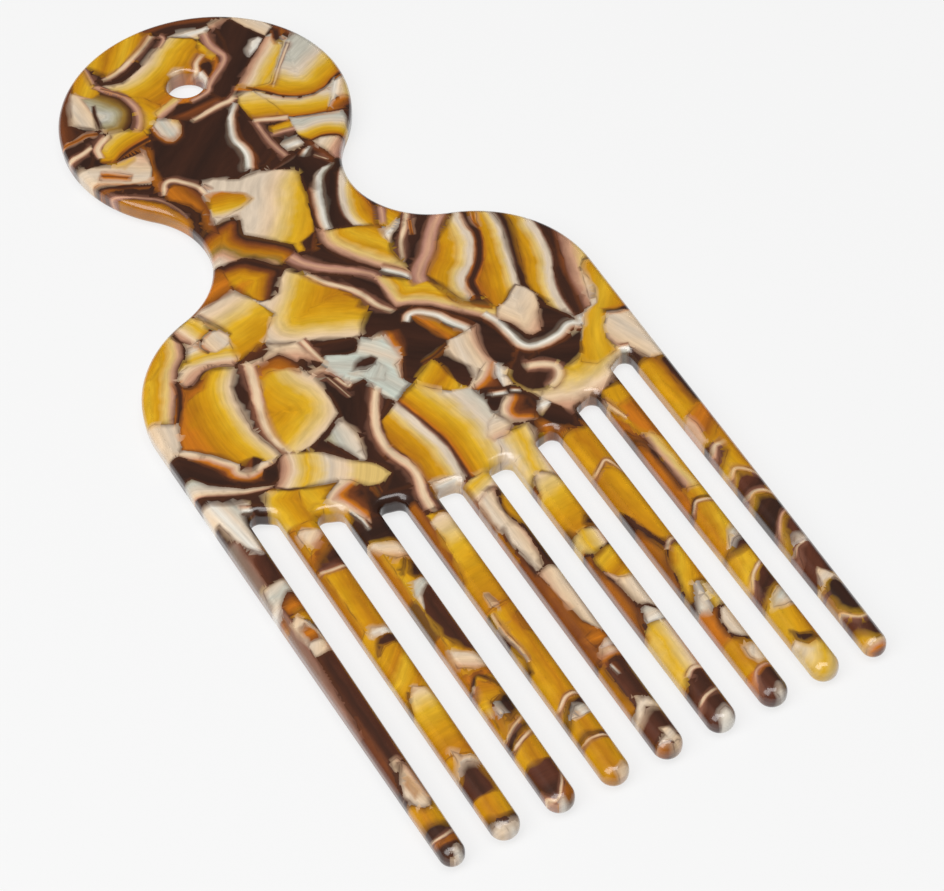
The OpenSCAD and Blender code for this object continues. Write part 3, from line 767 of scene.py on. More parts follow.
# left shoulder
chips += [
    chip("burnt", [(-15, 28), (-13.8, 25.8), (-14.1, 21.3), (-17, 20.8), (-22, 19.4), (-24, 22)],
        [(-22, 19.2), (-17, 20.6), (-14, 21.2)]),
    chip("fan", [(-22.4, 19.1), (-20.5, 20.2), (-17, 20.8), (-14.1, 21.4), (-12.3, 18), (-11, 13.8),
        (-13.6, 10.2), (-14.8, 8.8), (-18, 8.3), (-20, 7.4), (-23, 8.4), (-22, 11.4), (-19, 13)],
        [(-10, 20.6), (-14, 20.4), (-18, 19.2), (-24, 18.4)], 1.7),
    band("bronze", [(-21.7, 19.4), (-20, 16), (-18.9, 13.2)], 1.2, 0.7),
    chip("shell", [(-26.4, 17), (-28, 20), (-40, 12), (-40, 2.6), (-36.4, 2.3), (-34, 1), (-33, 3),
        (-30.8, 7), (-28.8, 11), (-26.9, 12.6), (-26, 15)], [(-34, 0), (-31, 6.4), (-29, 10.4),
        (-26.8, 12.8), (-25.8, 16)], 0.9),
    chip("honey", [(-36, 11.4), (-33.2, 11), (-30.8, 12.6), (-29.4, 16.6), (-34, 16)], [(-34, 10),
        (-29, 15)], 0.7),
    chip("swell", [(-26.2, 18.4), (-22.4, 20), (-21.2, 18), (-21.3, 15.4), (-23.6, 14.6), (-24.8, 14),
        (-26, 16)], [(-24.4, 13), (-26.4, 18)][::-1], 0.8),
    chip("swell", [(-29.2, 9.9), (-26.9, 12.4), (-26, 13.6), (-26, 15.4), (-24.8, 14.2), (-23.4, 14.6),
        (-22, 11), (-19.4, 12.4), (-20, 7.8), (-21, 7), (-24.5, 9.4)], [(-20, 7), (-24.4, 8.6),
        (-29.6, 8.6)][::-1], 0.7),
    band("dark", [(-26.7, 17.4), (-26, 15), (-26.2, 13.4), (-27.4, 11.4)], 0.5, 0.4),
    chip("blush", [(-23.7, 13.2), (-22.6, 14.7), (-21.2, 15.4), (-19.8, 15), (-19, 13.4), (-19.3, 12.1),
        (-20.4, 11.3), (-22.3, 10.9), (-23.2, 11.7)], [(-23.2, 10.6), (-24, 14)][::-1], 0.9),
    band("brown", [(-21, 15.6), (-22.8, 14.8), (-23.8, 13.2), (-23.2, 11.4)], 0.5),
    chip("blush", [(-30, 8.8), (-28.8, 10), (-27.2, 10.4), (-25, 9.7), (-22.6, 8.3), (-20.4, 6.8),
        (-21.6, 6.7), (-24, 8.2), (-26, 8), (-28.3, 6.7), (-29.5, 6.9)], [(-30, 7), (-26, 9), (-21, 7)],
        0.8),
    chip("fan", [(-33.6, 1), (-30.4, 6.8), (-28.6, 6.3), (-27.2, 7), (-25.8, 7.9), (-23.6, 7.9),
        (-20.6, 6.3), (-22.2, 4.6), (-23.4, 2), (-24.1, -3), (-24.3, -6), (-23, -11), (-22.8, -12.8),
        (-25, -12.9), (-27, -11.4), (-29.2, -11), (-31, -8), (-33, -6), (-35, -4.4), (-34.6, -2)],
        [(-22.9, -12), (-24.2, -6), (-24, 0), (-23.2, 3.4), (-21, 6.3)], 0.9),
    chip("burnt", [(-30.8, 6.8), (-29.6, 6.9), (-28.4, 6.3), (-26.8, 7), (-25, 7.8), (-27, 5.2), (-30, 4.2),
        (-32.6, 1.8), (-33.6, 1)], [(-34, 1), (-31, 7), (-26, 8)][::-1], 1.4),
    band("brown", [(-34.4, -1), (-32.6, 2), (-30.8, 5.6), (-30.2, 8.4)], 1.3, 1.3),
    band("dark", [(-30, 8.6), (-29.6, 7), (-28.6, 6.4), (-27.3, 7), (-25.8, 8), (-24, 8.2), (-22.4, 7.6),
        (-20.4, 6.4)], 0.5, 0.8),
    chip("ruddy", [(-20, 7.4), (-21.4, 6.2), (-22.2, 4.9), (-23.3, 3.4), (-23.8, 0.5), (-24.2, -3),
        (-24.4, -6), (-24.1, -8.5), (-23.2, -11), (-23, -12.8), (-20.8, -14), (-20.6, -13), (-22.2, -11.4),
        (-23, -9), (-23, -7), (-22.6, -4), (-21.6, -1), (-20.6, 2), (-19.6, 5), (-19.4, 6.8)], [(-22, -12),
        (-23, -8), (-22.6, -4), (-21.6, -1), (-20.6, 2), (-19.4, 6)]),
    band("stripe", [(-18.8, 6.6), (-19.2, 4.4), (-20.2, 1), (-21.4, -3), (-22.3, -7), (-22.2, -10.4),
        (-21.2, -13)][::-1], 1.2, 3.2),
    chip("fan", [(-18, 5.3), (-15, 5.4), (-14, 5.6), (-12.3, 2.6), (-11.9, -0.3), (-11.2, -1.8),
        (-11.4, -5), (-11.8, -9.8), (-15, -11.9), (-18.5, -13.5), (-20.6, -13.6), (-21.5, -12.3),
        (-21.9, -9), (-21.4, -5), (-20.3, -2), (-19, 2)], [(-18, -13.8), (-13, -10.6), (-11, -7),
        (-11.2, -3), (-12.4, 0), (-12.6, 4)], 1.45),
    chip("burnt", [(-18.2, 5.2), (-14, 5.6), (-12.3, 2.4), (-12.8, 0.6), (-14.4, 2.2), (-17, 3.2),
        (-18.8, 2.4)], [(-12, 1), (-14, 5.4), (-18, 5.6)], 1.2),
    chip("ruddy", [(-20, 7.2), (-18, 8.1), (-16, 9.2), (-15.1, 8.8), (-15, 7.3), (-16.5, 6.5),
        (-19.4, 6.7)], [(-20, 9), (-15, 9.4)]),
    chip("blush", [(-19.5, 6.7), (-16.5, 6.4), (-15.1, 7.2), (-14.8, 8.5), (-12.4, 7.1), (-9.3, 6.2),
        (-9.2, 3), (-8.7, 0.6), (-10, 1.6), (-11.7, 3.1), (-12.4, 2.7), (-14, 5.7), (-17.6, 5.2)],
        [(-19, 4.6), (-13, 4.8), (-9, 1)], 1.2),
    band("dark", [(-14.2, 5.8), (-12.8, 3.4), (-12, 0.4)], 0.4, 0.5),
    chip("dark", [(-12.4, 2.9), (-11, 2.7), (-9.9, 1.4), (-9, 0), (-7.7, -1.9), (-8.6, -1.2), (-9.8, 0.2),
        (-11.9, 0.2)], [(-12, 2), (-9, 0)]),
    chip("blush", [(-12, 0.2), (-9.8, 0.2), (-8.4, -1.3), (-8.2, -3.6), (-9.2, -2), (-10.6, -1.4),
        (-11.5, -1.4)], [(-12, -1.2), (-8, -1)]),
]

# left side
chips += [
    chip("blush", [(-40, 3), (-36.5, 2.4), (-34.2, 1), (-33.6, 0.6), (-35, -3.6), (-36.3, -5.2), (-40, -5)],
        [(-40, -5), (-39, 3)][::-1], 1.2),
    chip("dark", [(-40, -5.2), (-36.3, -5.3), (-33, -8.3), (-32.2, -11), (-31.6, -13), (-30, -13.6),
        (-27.4, -15.6), (-26.4, -14), (-24, -13.7), (-22.9, -12.8), (-23.2, -15), (-24.6, -16.6),
        (-26.6, -17.3), (-30.5, -15.8), (-34.8, -12.4), (-36.4, -10), (-40, -10)], [(-36, -8), (-30, -15)]),
    chip("glow", [(-36.6, -4.5), (-34.9, -4.6), (-32, -7.5), (-29, -11.2), (-29.5, -12.4), (-28.6, -13.3),
        (-26.5, -12.6), (-23.8, -12.8), (-24.6, -13.7), (-26.4, -13.9), (-27.4, -15.6), (-29, -14.8),
        (-31.5, -13.1), (-32.5, -10.4), (-34.6, -7)], [(-36, -4.4), (-32, -7.4), (-29.2, -11.2),
        (-29.4, -12.4), (-28, -13.2), (-24, -12.6)][::-1], 0.85),
    chip("ruddy", [(-29.4, -12.5), (-28.9, -11.2), (-27.6, -10.9), (-26.5, -10.9), (-25.4, -12.2),
        (-26.5, -12.8), (-27.5, -13.4), (-28.7, -13.3)], [(-27, -11), (-28, -13)], 0.5),
    chip("pearl", [(-40, -10), (-36.3, -10.2), (-34.6, -12.7), (-30.5, -15.9), (-26.6, -17.3), (-26.7, -18),
        (-30, -17.2), (-36.5, -14.5), (-40, -14.4)], [(-26, -18), (-31, -16.8), (-36, -14.4)][::-1], 0.6),
    chip("cloud", [(-40, -15.4), (-36, -16.1), (-33, -17.8), (-31, -18.4), (-31.2, -19), (-32.8, -19.6),
        (-33, -26), (-33.5, -28), (-35, -26), (-36, -23.6), (-36.6, -20), (-40, -20)], [(-36, -16),
        (-34, -28)], 0.8),
    chip("dark", [(-33, -20), (-31.6, -18.8), (-29.4, -20), (-29.6, -23), (-29.2, -26), (-33, -25)],
        [(-33, -20), (-29, -25)]),
    band("ice", [(-32.7, -19.2), (-31.3, -19.7)], 1.6, 1.2),
    band("flesh", [(-31.6, -20.6), (-29.8, -23.2)], 0.5, 0.4),
    chip("honey", [(-27.9, -18), (-26.8, -18), (-25.5, -18.9), (-23.3, -20), (-18.2, -21.7), (-21, -23.5),
        (-19, -25.6), (-19.4, -29), (-24.4, -28), (-29.5, -26), (-29.3, -20.5)], [(-22, -20), (-21, -28)],
        1.4),
    chip("fan", [(-27.9, -18), (-26, -18.6), (-23.4, -19.9), (-24.6, -23), (-24.4, -26), (-29.5, -26),
        (-29.3, -20.5)], [(-30, -25), (-30, -19), (-27.6, -17)][::-1], 0.8),
    chip("swell", [(-23.4, -13.2), (-22.3, -12.7), (-19.3, -14), (-17.5, -15.4), (-14, -19.2),
        (-12.5, -20.5), (-11.2, -22), (-10.3, -24.2), (-11.5, -24.9), (-13, -25.1), (-14.6, -24.6),
        (-16.5, -22.2), (-20.5, -20.9), (-23.5, -19.9), (-26.5, -18), (-25, -16.6)], [(-23, -12),
        (-24, -15.8), (-27, -18.4)]),
    band("dark", [(-27, -17.8), (-24.5, -19.4), (-21, -20.8), (-18, -21.7)], 0.45, 0.5),
    chip("dark", [(-20.4, -13.8), (-17.5, -13.2), (-15, -12), (-11.6, -9.8), (-11.9, -10.8), (-15.8, -13.4),
        (-15, -15.3), (-13.3, -19.3), (-14.3, -18.8), (-17, -15.4), (-19.4, -14.2)], [(-19, -14),
        (-14, -19)]),
    chip("pearl", [(-15.8, -13.5), (-14, -12.3), (-11.8, -10.6), (-11, -14.5), (-11.4, -17), (-12.3, -20),
        (-13.2, -19.5), (-13.8, -17.3)], [(-10.6, -19), (-10.2, -11)], 0.8),
    chip("glow", [(-21.4, -24.4), (-20.5, -23.2), (-17.4, -21.4), (-16.2, -22.2), (-15.1, -23.8),
        (-15.4, -26), (-17.3, -31), (-18.6, -28), (-20.5, -25.6)], [(-15.6, -21), (-19.4, -22.5),
        (-21.6, -24.4), (-19.8, -26.2), (-18.6, -30)], 0.9),
    chip("honey", [(-24, -24.4), (-22.8, -23.8), (-21.8, -24.4), (-22.4, -25.8), (-23.6, -25.6)],
        [(-25, -27), (-22, -27)], 0.5),
    chip("dark", [(-15.2, -24.4), (-13, -25.3), (-10.2, -24.2), (-9, -22), (-7.6, -25), (-8.2, -31),
        (-12, -31), (-16.6, -30), (-15.6, -26)], [(-15, -26), (-8, -30)]),
    band("bronze", [(-13.6, -25), (-13.7, -26.8)], 1.0, 0.4),
]

# middle of the plate
chips += [
    chip("fan", [(-5.2, 21.4), (-6.5, 20.2), (-8.4, 17.4), (-10, 16.7), (-11.6, 17.1), (-12.4, 18.2),
        (-10.9, 13.8), (-12.6, 12), (-15, 9), (-13.6, 8), (-11, 6.7), (-7, 5.3), (-3, 3.1), (-1.5, 2.7),
        (0, 4.9), (2.6, 7.6), (2.7, 9.5), (1.3, 11.5), (-1, 15), (-2.6, 18.6), (-3.6, 19.9)], [(-4, 24),
        (-8.4, 18), (-12.4, 13.4), (-13, 9.4), (-10.6, 6.8), (-7, 5.4), (-1, 2.2)], 1.25),
    chip("burnt", [(-4.9, 22.8), (-3.3, 23), (-2.7, 21), (-0.8, 19.4), (4, 14.6), (2.8, 13.4), (-0.6, 16),
        (-2.6, 18.6), (-4.3, 19.9), (-5.2, 21.6)], [(4, 15.4), (-0.8, 19.4), (-3, 22)][::-1], 0.9),
    chip("dark", [(-2.6, 18.8), (0, 17.4), (3, 14.8), (4.5, 15.2), (6.4, 12.6), (6.4, 7), (5.6, 4.8),
        (4, 6.6), (3, 9.6), (1.8, 12.4), (-0.6, 15)], [(0, 16), (5, 6)]),
    chip("umber", [(0.4, 11.8), (2.6, 10.6), (2.8, 8), (2, 7), (1, 8.4), (2, 9.6)], [(2, 7), (2.6, 11)],
        0.6),
    band("stripe", [(-2.8, 18.9), (-1, 15.6), (1.6, 12.4), (3, 9.6), (3.7, 7.2), (5.3, 4.3)], 0.9, 2),
    chip("dark", [(-1.6, 23.7), (1, 23.3), (2.8, 26.9), (3.1, 25.5), (2.5, 23.5), (2.7, 21.5), (4, 18.9),
        (6.2, 15.9), (8.5, 12.9), (10.8, 10.4), (11.8, 8.6), (9, 9.6), (6.9, 11.4), (6.4, 13.4),
        (4.5, 15.8), (1.5, 17.8), (-0.8, 20), (-1.4, 22)], [(0, 22), (8, 12)]),
    band("flesh", [(-3.2, 23.6), (-2, 21.2), (-0.4, 19.3), (2, 17.2), (4.5, 15.2), (6.4, 13), (6.8, 10.6)],
        2.6, 1.2),
    chip("shell", [(3.2, 27.4), (4.2, 26.1), (6, 25.3), (8.3, 24.5), (10.5, 23.7), (12.3, 22.5), (12.6, 21),
        (12.1, 18.5), (11.6, 16.5), (11.6, 12), (11.8, 8.8), (9, 12.6), (7.2, 14.8), (5.5, 17.2),
        (3.8, 19.8), (2.7, 22.2), (2.5, 24.5)], [(3.4, 28), (2.4, 24.4), (2.8, 22), (5.5, 17), (9, 12.4),
        (12, 8.6)], 1.15),
    band("ice", [(8.2, 13.8), (10.4, 11.4), (11.7, 9)], 2, 1.1),
    chip("shell", [(6.5, 12.4), (7.4, 12.2), (9.6, 10.2), (11.8, 8.6), (12.5, 8.1), (13.3, 9.8), (14.4, 7),
        (15.1, 3.6), (15.8, 1.3), (17.2, 0.6), (19, 0), (19.6, -2.6), (18.4, -5), (16.8, -4), (13, 0.2),
        (10.5, 3), (8, 4.6), (6, 5.1), (5.9, 8)], [(5.6, 12), (5.8, 6), (6.4, 5), (8, 4.4), (10.5, 2.8),
        (13, 0), (17.6, -5)], 0.9),
    band("bronze", [(12.8, 9.6), (14.3, 5.8), (15.3, 1.8), (17, 0), (19.4, -1.8)], 1.3, 2.2),
    chip("dark", [(-1.6, 2.7), (0, 5), (1.2, 6.2), (2.6, 7.5), (3.2, 6.6), (4.9, 4.8), (6.4, 4.9),
        (8.5, 4.3), (10.6, 2.8), (13, 0), (15, -2.4), (17.2, -4.8), (18.6, -6), (18.2, -10), (17.2, -13),
        (15.4, -14.8), (13.6, -13.5), (9, -14), (7.6, -15), (6.3, -12), (6.2, -7.4), (0.7, -10), (0.1, -9),
        (2.2, -4.4), (4, 0.2), (2, 0.2)], [(0, 2), (14, -10)], 1.5),
    chip("glow", [(-0.4, 1.6), (1.4, 1.2), (4.2, 0.8), (3.8, -1.4), (2, -4.8), (0.4, -7), (-0.4, -9.6),
        (-1.6, -6), (0.4, -2)], [(-1.5, -8), (0, -4), (0.4, 2)][::-1], 1.1),
    chip("frost", [(-9.3, 0.4), (-8, 1.7), (-5, 0.2), (-3.6, 0), (-1.6, 2.4), (-0.2, 1), (1.4, 0.6),
        (1.6, -2.4), (2, -4.6), (0.2, -5.4), (-0.3, -8), (0.6, -10.2), (-1.3, -11), (-3.1, -12.3),
        (-4.3, -9.6), (-5, -7.6), (-5, -5.4), (-7.8, -5.4), (-8.4, -3)], [(-9, 0), (-4, -3.8), (0, -12)],
        0.8),
    chip("frost", [(-6.6, -3.4), (-4, -4.4), (-1.6, -3.4), (-1.2, -5.4), (-2.6, -7.4), (-4.2, -6)],
        [(-5, -8), (-1, -4)], 0.7),
    chip("dark", [(-5.8, -3.2), (-4.8, -1.9), (-3.5, -1.5), (-2, -1.9), (-1.4, -2.8), (-2.2, -3.7),
        (-4, -3.9)], [(-5, -3), (-1, -3)]),
    chip("dark", [(-9.2, 4.4), (-8, 4.3), (-5, 3.5), (-3, 3.1), (-1.4, 2.8), (-2.5, 1.2), (-3.7, 0.1),
        (-5, 0.3), (-6.5, 1), (-8, 1.7), (-9.2, 2.2)], [(-9, 3), (-2, 2)]),
    band("stripe", [(-9.8, 6.4), (-9.4, 3.5), (-8.8, 0.4)], 1.6, 0.5),
    chip("ruddy", [(-11.5, -1.4), (-10, -1.3), (-9.4, -2.4), (-8.5, -5), (-7.9, -6.4), (-7, -5.7),
        (-5.4, -5.7), (-4.6, -7), (-4.7, -8.4), (-6, -10.4), (-7.6, -13), (-8.8, -16), (-9.6, -20),
        (-9.6, -21.4), (-8.2, -23), (-7.8, -25.6), (-8.6, -28), (-13, -27), (-10.2, -24.2), (-11.4, -21.4),
        (-12.4, -20), (-11, -15), (-11.9, -11), (-11.2, -8)], [(-7, -30), (-7.8, -24), (-9.4, -21),
        (-8.7, -16), (-6, -10.6), (-4.4, -7)]),
    band("stripe", [(-9.8, -2.8), (-9.3, -5), (-8.8, -7.4)], 0.4, 0.3),
    band("stripe", [(-8.8, -3.2), (-8, -5.6), (-7.2, -5.4)], 0.8, 0.6),
    band("stripe", [(-4.6, -8.3), (-6.4, -11.3), (-8.2, -15), (-8.8, -19), (-8.4, -21.4), (-7.4, -24.4),
        (-7.4, -27), (-8.2, -30), (-8.6, -33)], 1.6, 2.3),
    chip("gilt", [(-3, -12), (-5, -13.4), (-6.9, -14.6), (-7.6, -17), (-7.9, -19.6), (-7, -22), (-6.5, -25),
        (-6.9, -31.6), (-2.5, -31.6), (-0.8, -29.7), (-0.4, -24), (-1, -20), (-1.8, -16)], [(-0.8, -31),
        (-0.6, -24), (-1.2, -19.8), (-2.8, -12)], 0.95),
    chip("dark", [(-7, -14.2), (-5, -12.3), (-3.9, -11.2), (-3.1, -12.1), (-4.8, -13.2), (-6.4, -14.2)],
        [(-7, -14), (-3, -12)]),
    chip("cloud", [(-6.3, -28.8), (-4.4, -29), (-2.2, -29.4), (-2.4, -30.6), (-6, -30.6)], [(-6, -30),
        (-2, -30)], 0.5),
    chip("amber", [(-3, -12.2), (0.8, -10.2), (3, -12.5), (5, -14.5), (7.6, -15), (8.2, -16.2), (8.5, -18),
        (8.4, -21), (8.8, -22), (6.6, -24), (6.4, -26.4), (6, -28.4), (4, -31), (-1.4, -31), (-0.4, -24),
        (-1, -20), (-2, -16)], [(-3, -12), (-1.9, -16), (-0.9, -20), (-0.3, -24), (-0.6, -31)], 0.85),
    chip("honey", [(0.7, -10.2), (2.5, -9.1), (5.6, -7.3), (6.2, -8.5), (6.4, -11), (6.8, -13.5),
        (7.8, -15.3), (5.2, -14.6), (3, -12.6)], [(6.4, -7), (1.4, -11)], 1.0),
    chip("dark", [(-3, -12.4), (1, -10.4), (0.7, -9.6), (-1.4, -10.8), (-2.6, -11.8)], [(-3, -12),
        (1, -10)]),
    chip("blush", [(5.4, -25.2), (6.6, -23.1), (8.5, -21.9), (9.3, -22.6), (9.8, -25), (8.3, -26.4),
        (5.8, -26.4)], [(5, -26), (9, -26)], 0.8),
    chip("orange", [(7.2, 2.3), (8.8, 2.1), (10.1, 0.5), (10.9, -2), (12.6, -4.8), (10, -5.1), (9.6, -4.2),
        (8.5, -1.5)], [(9, 2), (10.8, -4)]),
    band("ice", [(5.9, 1.8), (7, 2.9), (8.8, 2.6), (10.8, 0.6), (12.1, -1.8), (13.8, -4.6)], 1.2, 2.4),
    chip("blush", [(8.2, -6.6), (9.9, -5.2), (12.6, -4.8), (15, -4.6), (14.2, -6), (13.6, -8),
        (13.3, -10.5), (13.6, -12.4), (14, -13.8), (11, -12.8), (9.2, -14.6), (7.7, -15.4), (9.6, -13.4),
        (9.9, -11.6), (9, -9.4)], [(13, -14), (13.4, -8), (14.6, -4)], 0.9),
    band("bronze", [(4.4, -7.3), (6.6, -6.9), (9, -5.9)], 0.3, 0.4),
    chip("glow", [(7.6, -15.4), (9.2, -14.6), (11, -12.9), (12.5, -12.1), (13.6, -12.6), (12.6, -14.6),
        (12, -17.4), (10.5, -16.8), (8.6, -16.4)], [(12, -12), (10, -14), (7, -15)], 0.9),
    chip("cloud", [(13.6, -12.6), (14, -13.6), (15, -15.2), (13.8, -16), (13.8, -18), (12.3, -17.8),
        (12.4, -14.8)], [(12, -17), (14, -13)], 0.7),
    chip("dark", [(8, -15.8), (8.7, -16.4), (10.5, -16.9), (12.3, -17.9), (14.3, -18), (14.6, -20),
        (15.8, -23), (19, -27.4), (18.6, -31), (15, -29), (14, -26.6), (12, -25.6), (9.6, -25), (9.1, -23),
        (8.2, -21), (8.5, -18.5)], [(9, -17), (16, -26)]),
    chip("glow", [(9.1, -22.4), (10.2, -20.8), (11.6, -19.5), (13, -20.1), (14.6, -21.6), (14.2, -24),
        (13.3, -25.7), (11.5, -25.5), (9.6, -24.5)], [(11.8, -19), (9.6, -21.6), (9.4, -24.6), (12, -26.6)],
        0.9),
    band("ice", [(10.1, -18.2), (12.1, -18.9)], 1.2, 1.1),
    band("ice", [(13, -18.9), (14.1, -19.6)], 0.8, 0.7),
    chip("cloud", [(14.4, -24.4), (15.4, -23.3), (16.3, -22.3), (17, -24.2), (15.6, -25), (14.6, -25.5)],
        [(14, -24), (17, -24)], 0.5),
]

# right shoulder
chips += [
    chip("honey", [(12.3, 22.6), (14, 26.7), (18, 24), (17, 22), (15.4, 22.4), (13.6, 21.2)], [(13, 27),
        (15, 21)], 0.8),
    band("flesh", [(14.6, 26.4), (13, 22.6)], 1.6, 1.2),
    chip("cloud", [(12.5, 22.1), (13.6, 21.4), (15.4, 22.5), (15.9, 21.2), (14, 20), (12, 18),
        (11.8, 19.5)], [(12, 20), (16, 22)], 0.6),
    chip("dark", [(15.4, 22.4), (18.2, 24), (24, 20), (23.8, 18.5), (20, 15.5), (14, 11), (12.2, 8.6),
        (11.6, 12), (11.2, 16.3), (11.7, 18), (13, 19.7), (15.4, 21.4)], [(12, 14), (20, 21)]),
    band("stripe", [(18, 23.6), (16.9, 22), (15.6, 20), (13.5, 17.3), (12.1, 14.2)][::-1], 0.7, 1.9),
    band("ember", [(17, 21.2), (15.9, 18.2)], 0.9, 0.7),
    chip("gilt", [(24.9, 20), (25.3, 17.5), (24.8, 14), (24, 11.5), (21, 6.6), (18.7, 4.6), (18.1, 1.2),
        (16.4, 1), (15.6, 1.6), (14.6, 6), (13.4, 9.5), (14.5, 11.4), (18, 14.4), (20, 16), (22, 17.2),
        (23.6, 18.8)], [(18.3, 0), (18.7, 4.6), (21, 6.6), (22.6, 8.8), (24.1, 11.6), (24.8, 15),
        (25.4, 19)], 1.1),
    chip("umber", [(21.6, 20), (23.8, 18.6), (22, 17.2), (20, 15.8), (18, 14.2), (18.3, 15.4),
        (20.7, 18.6)], [(18, 14), (23.6, 18.4)], 0.8),
    band("flesh", [(22.4, 20.6), (19.6, 18), (18, 16), (16, 13.3), (13.8, 11.2), (12.3, 9.4), (12, 7.8)],
        2.4, 2.7),
    chip("gilt", [(25.4, 19), (29.9, 16), (29.8, 12.5), (28.8, 9.5), (27.5, 5.5), (25.4, -0.9), (24.5, 0),
        (23, -0.8), (20.3, -3.1), (19.6, -2.6), (18.6, 1.4), (18.8, 3.8), (22.5, 7.7), (24.2, 10.8),
        (25, 14)], [(25.2, -1.4), (26.5, 2.5), (27.6, 6), (28.9, 9.8), (29.7, 13), (30, 16)], 0.85),
    band("ember", [(26.6, 17.4), (25.9, 15.6), (25.8, 14)], 1.1, 0.5),
    band("brown", [(25.6, 18.6), (24.9, 15.6), (25, 13.2), (24, 10.6), (22.4, 7.7), (20, 5.1), (18.8, 3.8),
        (18.3, 0.6)], 1.3, 2.1),
    chip("gilt", [(30, 17), (35, 13), (34.2, 9.4), (33.6, 5.5), (32.6, 2), (31.3, 0), (30.5, -2.5),
        (29.6, -6), (29.2, -10.6), (27.8, -8.6), (26.2, -5.2), (25.8, -1), (27.8, 5), (29.2, 9.3)],
        [(29.2, -11), (29.6, -6), (30.6, -2.3), (32.6, 1.6), (33.7, 5.5), (34.3, 10)], 0.95),
    band("dark", [(30.2, 16), (29.9, 12.3), (28.9, 9.1), (27.6, 5.2), (26.5, 1.8), (25.6, -1), (26, -3.4),
        (26.6, -6)], 1.9, 1.0),
    chip("blush", [(18.4, -5), (19.6, -2.9), (21, -2.7), (22.2, -1.8), (24.5, -0.2), (25.4, -1.2),
        (26.1, -3), (25.7, -5.2), (25, -6.8), (24, -9), (23, -10.6), (21.6, -10.8), (20.6, -9.9), (20, -7)],
        [(18, -6), (21, -11), (24, -9)], 1.6),
    chip("ruddy", [(29.2, -10.6), (29.5, -7), (30.3, -3), (31.2, -0.5), (32.6, 1.5), (33.3, 3.5), (33.8, 6),
        (34.2, 11), (38, 10), (36, 7), (35.2, 5), (34.3, 3), (33.9, 1), (32.9, -1.5), (32.1, -4),
        (31.8, -7), (30.6, -10.4)], [(30.8, -11), (32, -6), (32.8, -1.6), (34.2, 2.4), (36, 7)]),
    chip("shell", [(36, 7.2), (35.2, 5), (34.4, 3), (33.9, 1), (32.9, -1.5), (32.1, -4), (31.8, -7),
        (30.8, -10), (32.3, -10), (34.4, -5.4), (35, -2), (36.4, -0.7), (40, -0.2), (40, 7)], [(36.5, 9),
        (34.3, 2.4), (32.4, -3.4), (31, -11)], 1.8),
]

# right side
chips += [
    chip("swell", [(35.2, -1.8), (36, -0.9), (40, -0.6), (40, -12.6), (36.4, -13.4), (33.7, -12.5),
        (32.5, -14), (30.8, -17), (30.9, -18.6), (32, -20), (32, -26), (28, -24), (24, -26.6),
        (18.8, -27.8), (17.2, -24.4), (15, -20.4), (14.2, -18.2), (13.8, -16), (14.8, -15.1), (16.5, -13.8),
        (18.2, -11.5), (21, -13.5), (28.8, -13.1), (30.4, -10.8), (32.4, -10)], [(16, -26), (24, -27.6),
        (33, -24)], 1.9),
    chip("burnt", [(13.9, -16), (14.8, -15.1), (16.5, -13.8), (18.2, -11.4), (21, -13.4), (22, -19.4),
        (17.6, -21.6), (15.4, -20.8), (14.2, -18.2)], [(19, -11), (16, -14), (13.6, -16)][::-1], 1.8),
    chip("honey", [(29, -13.2), (30.5, -11), (33.4, -10), (35, -7), (35.2, -2), (36.2, -1), (40, -0.7),
        (40, -12.8), (36.4, -13.3), (33.8, -12.3), (31.8, -14.6), (30.6, -17.2), (31, -20), (27, -21),
        (25, -19.4), (26.8, -16.4)], [(27, -21), (30, -14), (37, -5)], 1.3),
    chip("dark", [(18, -15.2), (20, -14.1), (22.5, -13.7), (28.9, -13.3), (27.5, -15.3), (26.3, -17.6),
        (25, -18.6), (22, -19.2), (22, -17.5), (20.4, -16.1)], [(20, -14), (27, -17)]),
    band("stripe", [(17.3, -16), (19.4, -16.8), (21, -18), (21, -19.4), (20, -20.6), (18.4, -21.3)], 2.4,
        1.6),
    chip("dark", [(17.4, -4.6), (18.5, -5.2), (19.7, -6.8), (20.6, -10), (21.5, -10.9), (23, -10.7),
        (23.8, -9.2), (24.7, -7), (25.7, -5.8), (27.6, -8.8), (29, -11.6), (28.9, -13), (25, -13.4),
        (20, -13.4), (18.4, -11.2), (18, -8)], [(18, -6), (28, -12)]),
    band("ice", [(17, -3), (17.9, -5.6), (18.4, -9), (18.8, -11.6), (20, -12.9), (22.5, -13.3), (25, -12.9),
        (27.4, -11.9), (29, -12.7)][::-1], 2.4, 1.5),
    chip("cloud", [(28.8, -10.6), (30.4, -10.8), (30, -12), (29.3, -13), (28.8, -12)], [(29, -13),
        (30, -10)], 0.5),
    chip("blush", [(33.7, -12.4), (36.4, -13.2), (40, -13), (40, -24.4), (36.4, -24.4), (34.4, -24),
        (33, -20.4), (31.5, -19.6), (30.9, -17.3), (31.5, -15.5)], [(30, -16), (33, -25)], 1.3),
    band("brown", [(33.4, -12), (35.5, -12.9), (38.5, -13.2)], 1, 1.4),
    band("ice", [(31.6, -20), (33, -20.4)], 1.5, 1.5),
    chip("dark", [(18.8, -27.8), (19.4, -26.4), (21.6, -25.6), (23.4, -25.4), (24.6, -26.2), (24, -29),
        (18, -30)], [(18, -27), (24, -26)]),
]

